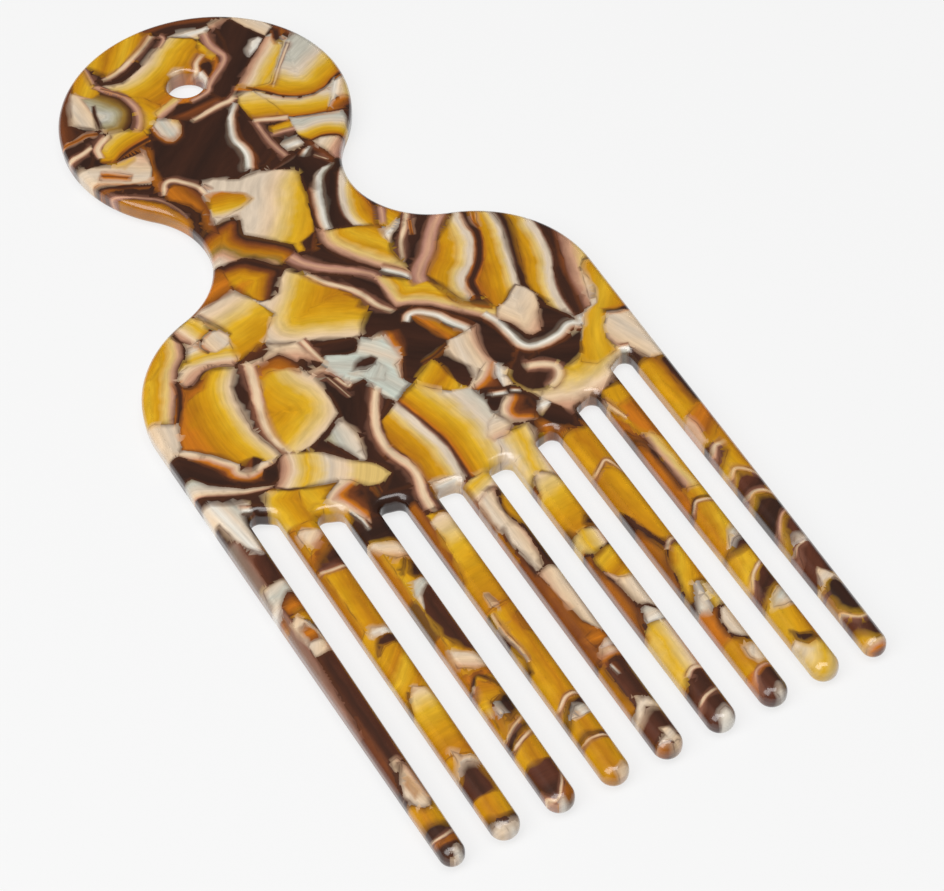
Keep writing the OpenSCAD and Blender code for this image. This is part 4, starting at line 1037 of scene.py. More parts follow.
# round handle, from its upper left
chips += [
    chip("honey", [(-13, 84), (-12.5, 80), (-11, 77), (-5, 79), (0, 83), (1, 87), (-5, 88)], [(-10, 77),
        (-5, 84)], 0.8),
    chip("honey", [(-19, 78.5), (-13.2, 83), (-13.4, 77), (-13.6, 74), (-15.2, 73.6), (-17, 75)],
        [(-17, 75), (-13, 80)]),
    chip("dark", [(-12.5, 81.6), (-13.2, 77.8), (-11, 77.9), (-11, 78.9)], [(-13, 78), (-12, 81)]),
    band("flesh", [(-13.1, 83), (-13.3, 79), (-13.4, 77.4)], 0.8),
    chip("fan", [(-12.2, 76), (-9, 75), (-5, 77), (0, 80.7), (2.7, 81.6), (6, 79.2), (6.7, 77), (7.6, 73.4),
        (7, 70.8), (4, 66), (1, 64), (-7.5, 64), (-9.2, 66), (-9.6, 70.5)], [(3, 83), (0, 81), (-4, 77.6),
        (-8, 75.8), (-12, 76)]),
    chip("honey", [(-9.6, 71.5), (-7.5, 69.8), (-5.8, 66.6), (-7.5, 64.5), (-10, 61), (-12, 62)],
        [(-9.5, 62), (-12, 68), (-11.4, 72)], 1.4),
    chip("ruddy", [(-16.5, 79.5), (-17.6, 76.9), (-20, 72), (-20.9, 69.7), (-20, 67.4), (-23, 66.2),
        (-26, 66), (-24, 74)], [(-24.5, 66), (-21.5, 74), (-18, 78.4)]),
    chip("blush", [(-17.8, 77.2), (-20, 72), (-20.9, 69.7), (-18, 67.2), (-16.6, 64.9), (-15.5, 70),
        (-15, 74), (-16.5, 75.5)], [(-15.6, 65), (-16, 75)], 0.9),
    chip("olive", [(-16.7, 75), (-15, 74.2), (-13.6, 74.6), (-12, 73), (-10.9, 71), (-10.7, 68.5),
        (-11.7, 66), (-13.5, 64.2), (-15.2, 64), (-16.8, 65), (-16.6, 69.5)], [(-17, 64.4), (-15, 63.8),
        (-13.3, 64.2), (-11.6, 66.2), (-10.7, 68.5), (-11, 71), (-12.2, 73.2), (-13.8, 75.2)]),
    band("dark", [(-15.7, 72.4), (-16.3, 70.5), (-16.9, 67.4), (-17.4, 66)], 0.7, 0.9),
    band("flesh", [(-13.6, 76.8), (-12, 74.1), (-10.5, 72), (-9.9, 69.5), (-9.9, 67), (-10.8, 64.6),
        (-12.2, 62.6)], 1.2, 1.8),
    band("brown", [(-12.9, 75.7), (-11, 73.4), (-9.3, 71)], 0.4, 0.3),
    band("stripe", [(-11.7, 77.3), (-8.4, 78.1), (-5, 79.9), (-2.4, 81.5), (0.2, 83.6)], 1.1, 1.8),
    band("dark", [(-12.2, 77), (-9.5, 76.2), (-7.2, 76.7), (-4.6, 78.3), (-2, 80.2), (0.8, 82.3)], 1.0,
        2.1),
    chip("dark", [(-24.5, 65.5), (-19, 65.6), (-18.8, 66.6), (-17.2, 66.2), (-16.7, 64.7), (-18.3, 63.6),
        (-20.4, 61.4), (-22, 58.7), (-25, 59)], [(-24, 62), (-18, 65)]),
    band("ember", [(-25, 65.8), (-21.5, 65.9), (-19.8, 66.3), (-18.4, 65.9)], 0.8, 1.2),
    band("stripe", [(-25, 61.9), (-22.4, 62.3), (-20, 63.2)], 1.9, 0.9),
    chip("amber", [(-20.2, 59.2), (-18.8, 62.6), (-16.6, 64.8), (-13.5, 64.1), (-11, 62.6), (-11, 60.3),
        (-14.6, 59.7), (-18, 57.6)], [(-20.5, 58.6), (-18, 57.6), (-14.6, 59.6), (-10, 60.6)], 0.75),
    band("stripe", [(-16.9, 64.4), (-19.4, 62.4), (-19.8, 60)], 1.9, 1.2),
    band("brown", [(-18.3, 57.9), (-15.5, 59.3), (-11, 60.3)], 0.5, 1.5),
    chip("pearl", [(-17.6, 58.1), (-14.5, 59.3), (-11.2, 60), (-11.6, 57.8), (-15, 57.8)], [(-11, 57.5),
        (-17, 57.7)]),
    chip("blush", [(-24.8, 59.4), (-22.2, 58.6), (-19, 57.6), (-14.7, 57.7), (-12.7, 57.9), (-13, 55.5),
        (-13.8, 53), (-15.2, 50.2), (-19, 52), (-21.8, 53.6), (-24.8, 55)], [(-24, 53), (-15, 47)], 1.2),
    chip("honey", [(-19.2, 58.1), (-18, 57.6), (-14.8, 57.6), (-15.3, 56.7), (-17, 56.1), (-18.3, 56.7)],
        [(-19, 57), (-15, 57.4)]),
    band("ember", [(-21.6, 56.2), (-19.6, 54.8), (-17.4, 53.2)], 2.2, 1.6),
    band("brown", [(-24.5, 54.6), (-21.6, 53.1), (-18.5, 51.5), (-15.2, 50)], 1.6, 1.0),
    chip("dark", [(-24.6, 53.8), (-21, 52.1), (-18.5, 51), (-15.4, 49.7), (-14.5, 48.6), (-14.7, 46.4),
        (-17, 47.6), (-19, 48.9), (-21, 50.4), (-24, 53)], [(-23, 52), (-15, 47)]),
    chip("orange", [(-25, 52.2), (-21, 49.7), (-18, 47.3), (-15.6, 45), (-14.2, 42), (-13.2, 38.8),
        (-15, 34), (-20, 38), (-27, 48)], [(-13.5, 37), (-15, 43), (-18.5, 47.8), (-24, 52)], 1.5),
    band("flesh", [(-24.4, 53), (-21, 50.2), (-18, 48), (-15.5, 45.8), (-13.9, 42.4), (-13.1, 39)], 0.9,
        0.5),
    chip("burnt", [(-12.7, 57.8), (-11.6, 58.1), (-12, 56.6), (-13, 53.2), (-13.1, 50.4), (-14.4, 46.4),
        (-15, 49.4), (-14.9, 50.9), (-13.7, 53), (-12.9, 55.6)], [(-13.4, 48), (-11, 58)], 0.8),
    chip("dark", [(-10.1, 62.2), (-11.6, 58), (-13.2, 53), (-13.2, 50), (-10.2, 47.6), (-8.8, 46.2),
        (-6, 46), (-4, 44.8), (-2.4, 43.9), (0.2, 45), (3, 44.6), (5.4, 46.4), (5.6, 49), (5.4, 52),
        (5.6, 57), (5.4, 60.5), (8, 62.5), (7, 64.5), (2.6, 63), (0.4, 64.9), (-3.6, 64.2), (-6.4, 63)],
        [(-10, 50), (2, 60)], 1.5),
    chip("burnt", [(0.2, 65), (2.4, 65.3), (3.4, 63.2), (2.2, 62), (0.6, 62.6)], [(3.4, 62), (0.4, 62.2)],
        0.6),
    chip("burnt", [(-9.9, 62.4), (-10, 60), (-9.2, 57.6), (-7.8, 56.9), (-5.9, 57.8), (-4.8, 60.2),
        (-4.7, 61.8), (-6.2, 63), (-8.4, 63.2)], [(-10.4, 63), (-10, 59.8), (-9.2, 57.8), (-7.8, 57),
        (-5.8, 58), (-4.8, 60.4), (-4.6, 63)], 0.4),
    chip("cloud", [(-9, 62.9), (-9, 60), (-8.3, 58.6), (-7.4, 58), (-5.9, 58.8), (-5.1, 60.4), (-5, 61.8),
        (-6.6, 63.6), (-7.6, 64)], [(-9.4, 58), (-9.4, 63)][::-1], 0.7),
    chip("ruddy", [(-7.4, 63.8), (-4, 61.6), (-2.6, 60.8), (2, 62), (4.4, 62.6), (3.4, 65), (1.2, 66),
        (-1, 64.6), (-3.6, 65.8), (-6, 65.2)], [(-6, 62.4), (2, 63)]),
    band("stripe", [(-2.8, 60.4), (0, 61), (3, 61.6), (5, 61.8), (7.6, 63.8)], 0.9, 2.0),
    band("ice", [(5.2, 60.6), (3.2, 58), (2, 55.4), (1.3, 52.6), (1.6, 50), (1.4, 47.6), (0.2, 45)], 1.0,
        2.6),
    band("stripe", [(-14.4, 46.6), (-13.4, 48.8), (-12, 49.1), (-10.4, 47.6), (-9, 45.6), (-8.6, 43.4)],
        1.4, 1.2),
    chip("burnt", [(-14.4, 46.6), (-13.2, 47.8), (-12, 48), (-10.9, 47.2), (-9.7, 45.6), (-9.1, 43.6),
        (-9.1, 41), (-10, 38), (-10.6, 34), (-12, 36), (-11, 40), (-11.8, 42.4), (-14.2, 45)], [(-10.6, 35),
        (-9.2, 41), (-9.8, 45.6)], 1.2),
    chip("dark", [(-14.9, 45.4), (-13.7, 44.2), (-12.2, 41.5), (-11.9, 39.6), (-13, 37.2), (-14, 34),
        (-15.4, 33), (-13.4, 39), (-13.9, 42)], [(-14, 44), (-13, 38)]),
]

# round the hanging hole
chips += [
    chip("shell", [(-7.7, 63.6), (-7.4, 65.6), (-3.2, 67.4), (-2.2, 66.2), (-4, 65), (-6, 63)], [(-3, 65),
        (-8, 63.2)][::-1], 0.9),
    chip("blush", [(-1.6, 73.2), (0, 73.7), (0.9, 73.1), (0.9, 72.2), (-1.3, 72.4)], [(-2, 72), (1, 72.4)],
        0.4),
    chip("dark", [(5.8, 73.6), (4, 72.4), (3.6, 70.6), (4, 68.8), (5.6, 70.2), (6.6, 72)], [(4, 70),
        (6, 73)]),
    band("stripe", [(5.5, 74.6), (3.8, 73.2), (2.9, 71), (2.8, 69.6)], 1.4, 1.1),
    band("ice", [(3.6, 71), (3.6, 68.6), (2.6, 66.4)], 1.2, 1.1),
    chip("honey", [(6.6, 78.4), (7.1, 76), (7.6, 73.4), (6.4, 72.4), (5.4, 74.6), (5.4, 77)], [(7.2, 72),
        (6, 78)], 0.5),
]

# upper right of the round handle
chips += [
    chip("ruddy", [(-1, 84.8), (0.7, 84.4), (1.6, 82.4), (2.8, 82), (4, 82.2), (5.5, 81.8), (7.5, 81.3),
        (10, 81.1), (12.4, 81.2), (10, 85), (4, 88), (-1, 88)], [(12, 82.2), (8, 83.5), (4, 84.8),
        (-1, 85)]),
    band("flesh", [(1.4, 83), (1.6, 81.8), (0, 80.2)], 1.2, 0.7),
    chip("cloud", [(2.6, 81.9), (4.3, 82.2), (7.5, 81.3), (9.6, 80.9), (9.6, 80.1), (8.3, 79), (6.8, 78.7),
        (5.2, 80.2)], [(2.6, 80.9), (9, 80.4)], 0.5),
    chip("dark", [(8.9, 79.9), (10.3, 79.8), (11.5, 80.2), (13, 80.6), (14, 80), (15, 77.5), (17, 73.5),
        (15.5, 72), (13.5, 70.4), (11.8, 68.9), (10, 67), (7.5, 64.8), (5, 62.9), (3.6, 62.6), (2.6, 65.4),
        (3.6, 67), (7.5, 69.9), (9.2, 72.3), (8.5, 76)], [(4, 64), (12, 74)], 1.6),
    chip("ruddy", [(8.9, 80), (10.6, 79.9), (10.4, 76), (9.3, 72.6), (8.5, 74), (8.4, 77)], [(8.2, 80),
        (8.3, 72)], 0.8),
    chip("blush", [(9.5, 80.1), (9.9, 81.2), (12.4, 81.4), (13.4, 80.7), (11.5, 80.1), (10.3, 79.7)],
        [(9, 80.4), (13, 81)], 0.6),
    band("flesh", [(8.2, 79.6), (7.8, 77), (8.1, 74.5), (8.6, 72.3), (7.2, 70.3), (5, 68.6), (3.4, 67),
        (2.2, 65.6), (-1, 64.9)], 1.9, 0.9),
    chip("cloud", [(12.3, 70.3), (13, 72), (14.3, 73.6), (15.9, 73.8), (16.2, 73.1), (14.6, 71.3)],
        [(16.5, 74), (12, 70)], 2.0),
    chip("blush", [(14, 80.2), (15, 77.5), (17, 73.6), (18.6, 74.9), (19.2, 75), (18, 80), (14, 83)],
        [(13, 80), (16, 73)], 0.9),
    chip("ruddy", [(19, 75.2), (19.4, 73.4), (20.2, 71), (23, 71), (21, 76)], [(21.5, 71), (19.5, 75)]),
    chip("amber", [(17, 73.3), (15.5, 72), (11.8, 68.8), (7.5, 64.7), (5.3, 62.9), (6.4, 61.6), (9.4, 62),
        (11, 60.4), (12.6, 58.3), (15, 56.6), (17.6, 56), (20, 56.5), (22.2, 57.8), (26, 59), (26, 66),
        (22, 72), (20.2, 71), (18.9, 73.6)], [(8, 62.4), (10.8, 60.5), (12.5, 58.4), (15, 56.7), (17.5, 56),
        (20, 56.5), (24, 58.6)], 0.8),
    chip("swell", [(17, 73.3), (15.5, 72), (11.8, 68.8), (7.5, 64.7), (9.4, 62.8), (12.2, 62.2), (15.6, 66),
        (19, 70.4), (18.6, 72.6)], [(17.6, 74), (6.4, 63.4)], 1.0),
    band("stripe", [(19.6, 69.8), (16, 65.6), (12.8, 61.6)], 0.7, 0.4),
    band("brown", [(19.3, 74), (18.6, 72), (18.6, 70.9)], 1.6, 2.4),
    band("brown", [(8.6, 63), (10.8, 60.5), (12.5, 58.4), (15, 56.7), (17.5, 56), (20, 56.5), (22, 57.8),
        (25, 59)], 0.7, 0.9),
]

# lower right of the round handle
chips += [
    chip("amber", [(5.5, 60.4), (6.3, 61.9), (8, 62.4), (9.7, 61.4), (11, 59.6), (10.6, 57), (11.4, 53),
        (8, 54.6), (5.8, 55.4)], [(5.8, 54.6), (11.5, 52.4)], 1.1),
    chip("amber", [(9, 61.8), (11, 59.6), (12.7, 57.7), (15, 56.2), (17.5, 55.6), (20, 56.2), (22.3, 57.7),
        (21.5, 55.3), (18, 51.2), (17, 50.9), (14.5, 51.6), (11.3, 53), (10.6, 57)], [(9, 54.4),
        (11.4, 52.9), (14.5, 51.5), (18.4, 50.6)], 0.62),
    band("brown", [(10.4, 53.6), (12, 52.5), (15, 51.5), (17.5, 50.8), (20.2, 50)], 0.5, 0.8),
    chip("cloud", [(18.2, 51.6), (21.6, 56.8), (25, 58.4), (25, 52), (21.6, 52.6), (20.4, 53.4)], [(18, 51),
        (22, 57)], 0.6),
    chip("burnt", [(17.4, 50.8), (19.4, 52.9), (21.2, 53.3), (25, 52), (22, 47), (19.8, 47), (20, 50)],
        [(17, 49.6), (22, 51)], 0.9),
    chip("amber", [(11.2, 52.8), (13, 52), (16, 51), (19.8, 49.9), (19.7, 48), (18.6, 45.6), (18.6, 43),
        (16.8, 44.6), (14.6, 46), (12, 46), (10.8, 48.3), (10.9, 50.5)], [(10.4, 46.4), (12, 45.9),
        (14.3, 46), (16, 45.2), (18, 43.4)], 0.42),
    band("brown", [(11.8, 46), (14, 46.1), (16, 45.3), (18, 43.6)], 0.3, 0.6),
    chip("blush", [(12.1, 45.7), (13.6, 45.9), (15.2, 45.4), (16.6, 44.3), (17.6, 43), (14.6, 40),
        (13.4, 40.2), (13.2, 42.2), (12.2, 44.7)], [(12, 41), (16, 44)], 0.7),
    chip("ruddy", [(3.4, 43), (6, 44.3), (9, 45.4), (10.7, 46.4), (11.9, 45.9), (12.6, 43.6), (13.3, 40.4),
        (12.4, 39.2), (10.5, 39.3), (8.6, 38), (7.3, 35.4), (5.8, 36), (6.6, 39), (6.6, 41), (5, 42.2)],
        [(12.4, 42), (11.5, 46)], 1.2),
    chip("pearl", [(1.4, 43.6), (3.4, 44.6), (5.4, 46.2), (7.2, 45.3), (8, 44.5), (5.4, 43.7), (3.4, 42.7)],
        [(7, 43.8), (3, 42.7)]),
    band("stripe", [(11, 42.3), (12.2, 40.6)], 0.4, 0.4),
    band("ice", [(9.2, 43.6), (10.8, 44.9)], 1.1, 1.2),
    chip("dark", [(5.8, 54.6), (8, 53.6), (8.4, 52.2), (7, 50.6), (7.1, 47.8), (7.2, 45.3), (10.7, 44.6),
        (10.8, 48.4), (11, 53.2), (8, 54.6)], [(7, 48), (8, 53)]),
    band("flesh", [(6, 55.2), (5.9, 51), (6.1, 48), (6.7, 44.8)], 1.1, 1.4),
    band("stripe", [(5.8, 55.2), (8.4, 54.1), (11.2, 52.9)], 1.2, 1.5),
    chip("honey", [(7.6, 52.4), (11.1, 52.4), (11, 50.6), (7.4, 51)], [(7, 51.4), (11, 51)], 0.6),
    band("flesh", [(7, 50.5), (9, 50.3), (11, 50)], 1.1, 1.2),
    chip("cloud", [(7.1, 47.9), (10.3, 47.9), (10.7, 46), (9.4, 45.7), (7.6, 45.9)], [(7, 46.6),
        (11, 46.6)], 0.6),
]


def chip_at(points):
    """The number of the topmost chip at each point."""
    top = np.zeros(len(points), int)
    for n, chip in enumerate(chips):
        box_low, box_high = chip["loop"].min(0), chip["loop"].max(0)
        hit = np.flatnonzero(np.all((points >= box_low) & (points <= box_high), axis=1))
        if len(hit):
            hit = hit[inside(points[hit], chip["loop"])]
            top[hit] = n
    return top


# ---------------------------------------------------------------- meshes
class Mesh:
    """Vertices, faces and what the material reads from them."""

    def __init__(self):
        self.verts, self.normals, self.flat_vert = [], [], []
        self.faces, self.face_chip, self.flat_normal = [], [], []

    def vert(self, x, y, z, normal, flat_vert):
        """Adds a vertex that lies below or on the face's vertex flat_vert, and gives its number."""
        self.verts.append((x, y, z))
        self.normals.append(normal)
        self.flat_vert.append(flat_vert)
        return len(self.verts) - 1

    def face(self, corners, chip, normal=None):
        """Adds a face of the given chip. A flat one has its own normal."""
        self.faces.append(tuple(int(c) for c in corners))
        self.face_chip.append(int(chip))
        self.flat_normal.append(normal)


def ring_at(point, normal, radius):
    """Positions and normals down the edge, from the front face's rim to the back face's."""
    ring = []
    for half in (1, -1):
        for n in range(RINGS + 1):
            a = math.pi / 2 * (n if half > 0 else RINGS - n) / RINGS
            inset = radius * (1 - math.sin(a))
            z = THICK / 2 + half * (THICK / 2 - radius + radius * math.cos(a))
            p = point - normal * inset
            ring.append(((p[0], p[1], z), (*(normal * math.sin(a)), half * math.cos(a))))
    return ring


def grid_points(loops, fixed):
    """Evenly spaced points within the loops that keep clear of the fixed ones."""
    lo, hi = np.array(loops[0]).min(0), np.array(loops[0]).max(0)
    xs = np.arange(lo[0], hi[0], SPACING)
    ys = np.arange(lo[1], hi[1], SPACING * ROW)
    grid = np.array([(x + SPACING / 2 * (n % 2), y) for n, y in enumerate(ys) for x in xs])
    grid = grid[within(grid, loops)]
    cells = {}
    for n, p in enumerate(fixed):
        cells.setdefault((int(p[0] // 1), int(p[1] // 1)), []).append(n)
    keep = []
    for p in grid:
        cx, cy = int(p[0] // 1), int(p[1] // 1)
        near = [n for i in (-1, 0, 1) for j in (-1, 0, 1) for n in cells.get((cx + i, cy + j), [])]
        if not near or np.min(np.sum((fixed[near] - p) ** 2, axis=1)) > (SPACING / 2) ** 2:
            keep.append(tuple(p))
    return keep


def within(points, loops):
    """True for each point inside the first loop and outside the others."""
    good = inside(points, np.array(loops[0]))
    for hole in loops[1:]:
        good &= ~inside(points, np.array(hole))
    return good


def triangulate(loops, chains, extra):
    """Fills the first loop, less the others, with triangles that keep the chains' edges.

    Returns the vertices, the triangles and the vertices along each edge of the loops.
    """
    points, edges = [], []
    for loop in loops:
        start, count = len(points), len(loop)
        points += [tuple(p) for p in loop]
        edges += [(start + n, start + (n + 1) % count) for n in range(count)]
    loop_edges = len(edges)
    for chain in chains:
        start = len(points)
        points += [tuple(p) for p in chain]
        edges += [(start + n, start + n + 1) for n in range(len(chain) - 1)]

    points += grid_points(loops, np.array(points)) + extra
    all_triangles, same_place = 0, 1e-5
    verts, out_edges, faces, _, orig_edges, _ = geometry.delaunay_2d_cdt(
        [Vector(p) for p in points], edges, [], all_triangles, same_place, True)
    verts = np.array([(v[0], v[1]) for v in verts])
    faces = np.array([f for f in faces if len(f) == 3])
    faces = faces[within(verts[faces].mean(axis=1), loops)]
    a, b, c = (verts[faces[:, n]] for n in range(3))
    area = (b[:, 0] - a[:, 0]) * (c[:, 1] - a[:, 1]) - (b[:, 1] - a[:, 1]) * (c[:, 0] - a[:, 0])
    real = np.abs(area) > 1e-7      # not just a line
    faces, area = faces[real], area[real]
    faces[area < 0] = faces[area < 0][:, ::-1]

    used, faces = np.unique(faces, return_inverse=True)
    number = {v: n for n, v in enumerate(used)}
    on_loop = {}
    for (u, v), origin in zip(out_edges, orig_edges):
        for e in origin:
            if e < loop_edges:
                on_loop.setdefault(e, set()).update((number[u], number[v]))
    return verts[used], faces.reshape(-1, 3), on_loop


def chord_middles(verts, faces, face_chips):
    """Middles of the edges that run inside a chip from one of its borders to another."""
    beside = {}
    for f, c in zip(faces, face_chips):
        for u, v in ((f[0], f[1]), (f[1], f[2]), (f[2], f[0])):
            beside.setdefault((min(u, v), max(u, v)), []).append(c)
    on_border = {v for edge, c in beside.items() if len(set(c)) > 1 for v in edge}
    return [tuple((verts[u] + verts[v]) / 2) for (u, v), c in beside.items()
            if len(c) == 2 and c[0] == c[1] and u in on_border and v in on_border
            and np.linalg.norm(verts[u] - verts[v]) > SHORT]


def rounding(points):
    """Drop below the front face at each point, and the sideways and upward parts of its normal."""
    gap, which = nearest(points, RIM["start"], RIM["end"])
    a, step = RIM["start"][which], (RIM["end"] - RIM["start"])[which]
    t = np.sum((points - a) * step, axis=1) / np.sum(step ** 2, axis=1)
    t = np.clip(t, 0, 1)[:, None]
    normal = RIM["normal"][which, 0] * (1 - t) + RIM["normal"][which, 1] * t
    normal /= np.linalg.norm(normal, axis=1)[:, None]
    t = t[:, 0]
    radius = RIM["radius"][which, 0] * (1 - t) + RIM["radius"][which, 1] * t
    lean = np.clip(1 - gap / radius, 0, 1)
    rise = np.sqrt(1 - lean ** 2)
    return radius * (1 - rise), normal * lean[:, None], rise


def runs_within(line, low, high):
    """The stretches of a line that lie within a box."""
    runs, run = [], []
    for p in line:
        if np.all((p > low) & (p < high)):
            run.append(p)
            continue
        runs.append(run)
        run = []
    runs.append(run)
    return [r for r in runs if len(r) > 1]


def face_edge(rings):
    """The points, one for each point of the outline, where the triangulated face ends."""
    return [r[PLAN_RINGS][0][:2] for r in rings]


def rings_of(path):
    """The rounding's rings at each point of a path."""
    return [ring_at(*place) for place in zip(path.points, path.normals, path.radii)]


def face_loop(inset):
    """The face's loop, whose paths are joined by straight seams, and what each of its edges is.

    That is ("edge", path, place along it) or ("seam", path before it).
    """
    loop, kinds = [], []
    for n, rings in enumerate(inset):
        places = face_edge(rings)
        loop += places
        kinds += [("edge", n, i) for i in range(len(places) - 1)] + [("seam", n)]
        last = np.array(places[-1])
        seam = np.array(face_edge(inset[(n + 1) % len(inset)])[0]) - last
        steps = max(1, math.ceil(np.linalg.norm(seam) / STEP))
        loop += [tuple(last + seam * s / steps) for s in range(1, steps)]
        kinds += [("seam", n)] * (steps - 1)
    return loop, kinds


def face_chains(loop, inset, hole_rings):
    """Lines that the face's triangles keep: its rounding's rings, chip outlines and bands' middles."""
    reach = 1.0
    low, high = np.array(loop).min(0) - reach, np.array(loop).max(0) + reach
    closed = [hole_rings + hole_rings[:1]] if hole_rings else []
    chains = [[r[k][0][:2] for r in rings] for rings in inset + closed for k in range(PLAN_RINGS)]
    for chip in chips:
        line = chip["loop"]
        if np.all(line.max(0) > low) and np.all(line.min(0) < high):
            chains += runs_within(np.vstack([line, line[:1]]), low, high)
            if chip["middle"] is not None:
                chains += runs_within(chip["middle"], low, high)
    return chains


class Wall:
    """The lower part of the rounding and the wall below it, as columns of mesh vertices."""

    def __init__(self, mesh, top, bottom):
        self.mesh, self.top, self.bottom = mesh, top, bottom
        self.columns = {}

    def column(self, v, rings_a, rings_b, share):
        """Mesh vertices down the edge at flat vertex v, made once."""
        if v not in self.columns:
            ids = [self.top[v]]
            lower = slice(PLAN_RINGS + 1, -PLAN_RINGS - 1)
            for (pa, na), (pb, nb) in zip(rings_a[lower], rings_b[lower]):
                p = np.array(pa) * (1 - share) + np.array(pb) * share
                n = np.array(na) * (1 - share) + np.array(nb) * share
                ids.append(self.mesh.vert(*p, tuple(n / np.linalg.norm(n)), v))
            ids.append(self.bottom[v])
            self.columns[v] = ids
        return self.columns[v]

    def strip(self, along, edge_chip, rings_a, rings_b):
        """The wall below one edge of the outline, whose flat vertices and their shares are along."""
        columns = [self.column(v, rings_a, rings_b, min(1.0, max(0.0, s))) for v, s in along]
        for n, (left, right) in enumerate(zip(columns, columns[1:])):
            chip = edge_chip.get((along[n][0], along[n + 1][0]), 0)
            for k in range(len(left) - 1):
                self.mesh.face([left[k], right[k], right[k + 1], left[k + 1]], chip)


def split_edge(on_edge_verts, verts, a, b):
    """The flat vertices on the edge from a to b and their shares of the way, in order."""
    a, b = np.array(a), np.array(b)
    ids = list(on_edge_verts)
    share = [float((verts[v] - a) @ (b - a) / ((b - a) @ (b - a))) for v in ids]
    return [(ids[n], share[n]) for n in np.argsort(share)]


def build_piece(paths, hole=None):
    """One piece of the comb: both faces, the walls round its paths and hole, and its seams."""
    mesh = Mesh()
    inset = [rings_of(path) for path in paths]
    hole_rings = rings_of(hole)[:-1] if hole is not None else []
    loop, kinds = face_loop(inset)
    loops = [loop, face_edge(hole_rings)] if hole_rings else [loop]
    chains = face_chains(loop, inset, hole_rings)
    verts, faces, on_loop = triangulate(loops, chains, [])
    halves = chord_middles(verts, faces, chip_at(verts[faces].mean(axis=1)))
    verts, faces, on_loop = triangulate(loops, chains, halves)
    face_chips = chip_at(verts[faces].mean(axis=1))

    drop, lean, rise = rounding(verts)
    top = [mesh.vert(*verts[n], THICK - drop[n], (*lean[n], rise[n]), n)
           for n in range(len(verts))]
    bottom = [mesh.vert(*verts[n], drop[n], (*lean[n], -rise[n]), n) for n in range(len(verts))]
    edge_chip = {}
    for f, c in zip(faces, face_chips):
        mesh.face([top[v] for v in f], c)
        mesh.face([bottom[v] for v in f[::-1]], c)
        for u, v in ((f[0], f[1]), (f[1], f[2]), (f[2], f[0])):
            edge_chip[(u, v)] = c
            edge_chip[(v, u)] = c

    wall = Wall(mesh, top, bottom)
    seam_runs = {}
    for e, kind in enumerate(kinds):
        along = split_edge(on_loop[e], verts, loop[e], loop[(e + 1) % len(loop)])
        if kind[0] == "edge":
            rings = inset[kind[1]]
            wall.strip(along, edge_chip, rings[kind[2]], rings[kind[2] + 1])
        else:
            run = seam_runs.setdefault(kind[1], [])
            run += [v for v, _ in along[1 if run else 0:]]
    for i, rings in enumerate(hole_rings):
        after = (i + 1) % len(hole_rings)
        along = split_edge(on_loop[len(loop) + i], verts, loops[1][i], loops[1][after])
        wall.strip(along, edge_chip, rings, hole_rings[after])

    centre = np.array(loop).mean(axis=0)
    for run in seam_runs.values():
        a, b = verts[run[0]], verts[run[-1]]
        square = np.array([(b - a)[1], -(b - a)[0]])
        if square @ (a + b - 2 * centre) < 0:
            square = -square
        cap = [top[v] for v in run] + wall.columns[run[-1]][1:-1]
        cap += [bottom[v] for v in run[::-1]] + wall.columns[run[0]][-2:0:-1]
        add_cap(mesh, cap, square)
    return mesh


def add_cap(mesh, corners, square):
    """The flat cut face on a seam between two pieces, facing out of this one."""
    p = np.array([mesh.verts[c] for c in corners])
    turn = np.zeros(3)
    for a, b in zip(p, np.roll(p, -1, axis=0)):
        turn += np.cross(a, b)
    turn /= np.linalg.norm(turn)
    if turn[:2] @ square < 0:
        corners, turn = corners[::-1], -turn
    mesh.face(corners, 0, tuple(turn))


def seams(mesh):
    """Distance of each face corner from its chip's nearest edge, and the chip across it."""
    owner, border = {}, []
    # The front face's own vertices come first, in the order of the flat vertices.
    front = max(mesh.flat_vert) + 1
    for f, c in zip(mesh.faces, mesh.face_chip):
        if max(f) >= front:
            continue
        for u, v in zip(f, f[1:] + f[:1]):
            first = owner.setdefault((min(u, v), max(u, v)), c)
            if first != c:
                border.append((u, v, first, c))
    plan = np.array(mesh.verts)[:, :2]
    flat_vert = np.array(mesh.flat_vert)
    size = np.array([len(f) for f in mesh.faces])
    face_start = np.cumsum(size) - size
    corner_at = plan[flat_vert[np.concatenate([np.array(f) for f in mesh.faces])]]
    face_at = np.add.reduceat(corner_at, face_start) / size[:, None]
    face_chip = np.array(mesh.face_chip)
    corner_chip = np.repeat(face_chip, size)
    gap, across = np.full(len(corner_at), FAR), face_chip.copy()
    for c in np.unique(face_chip):
        own = [(u, v, d if e == c else e) for u, v, d, e in border if c in (d, e)]
        if not own:
            continue
        ends = [plan[[o[0] for o in own]], plan[[o[1] for o in own]]]
        corners, faces = corner_chip == c, face_chip == c
        gap[corners] = nearest(corner_at[corners], *ends)[0]
        across[faces] = np.array([o[2] for o in own])[nearest(face_at[faces], *ends)[1]]
    return gap, np.repeat(across, size)


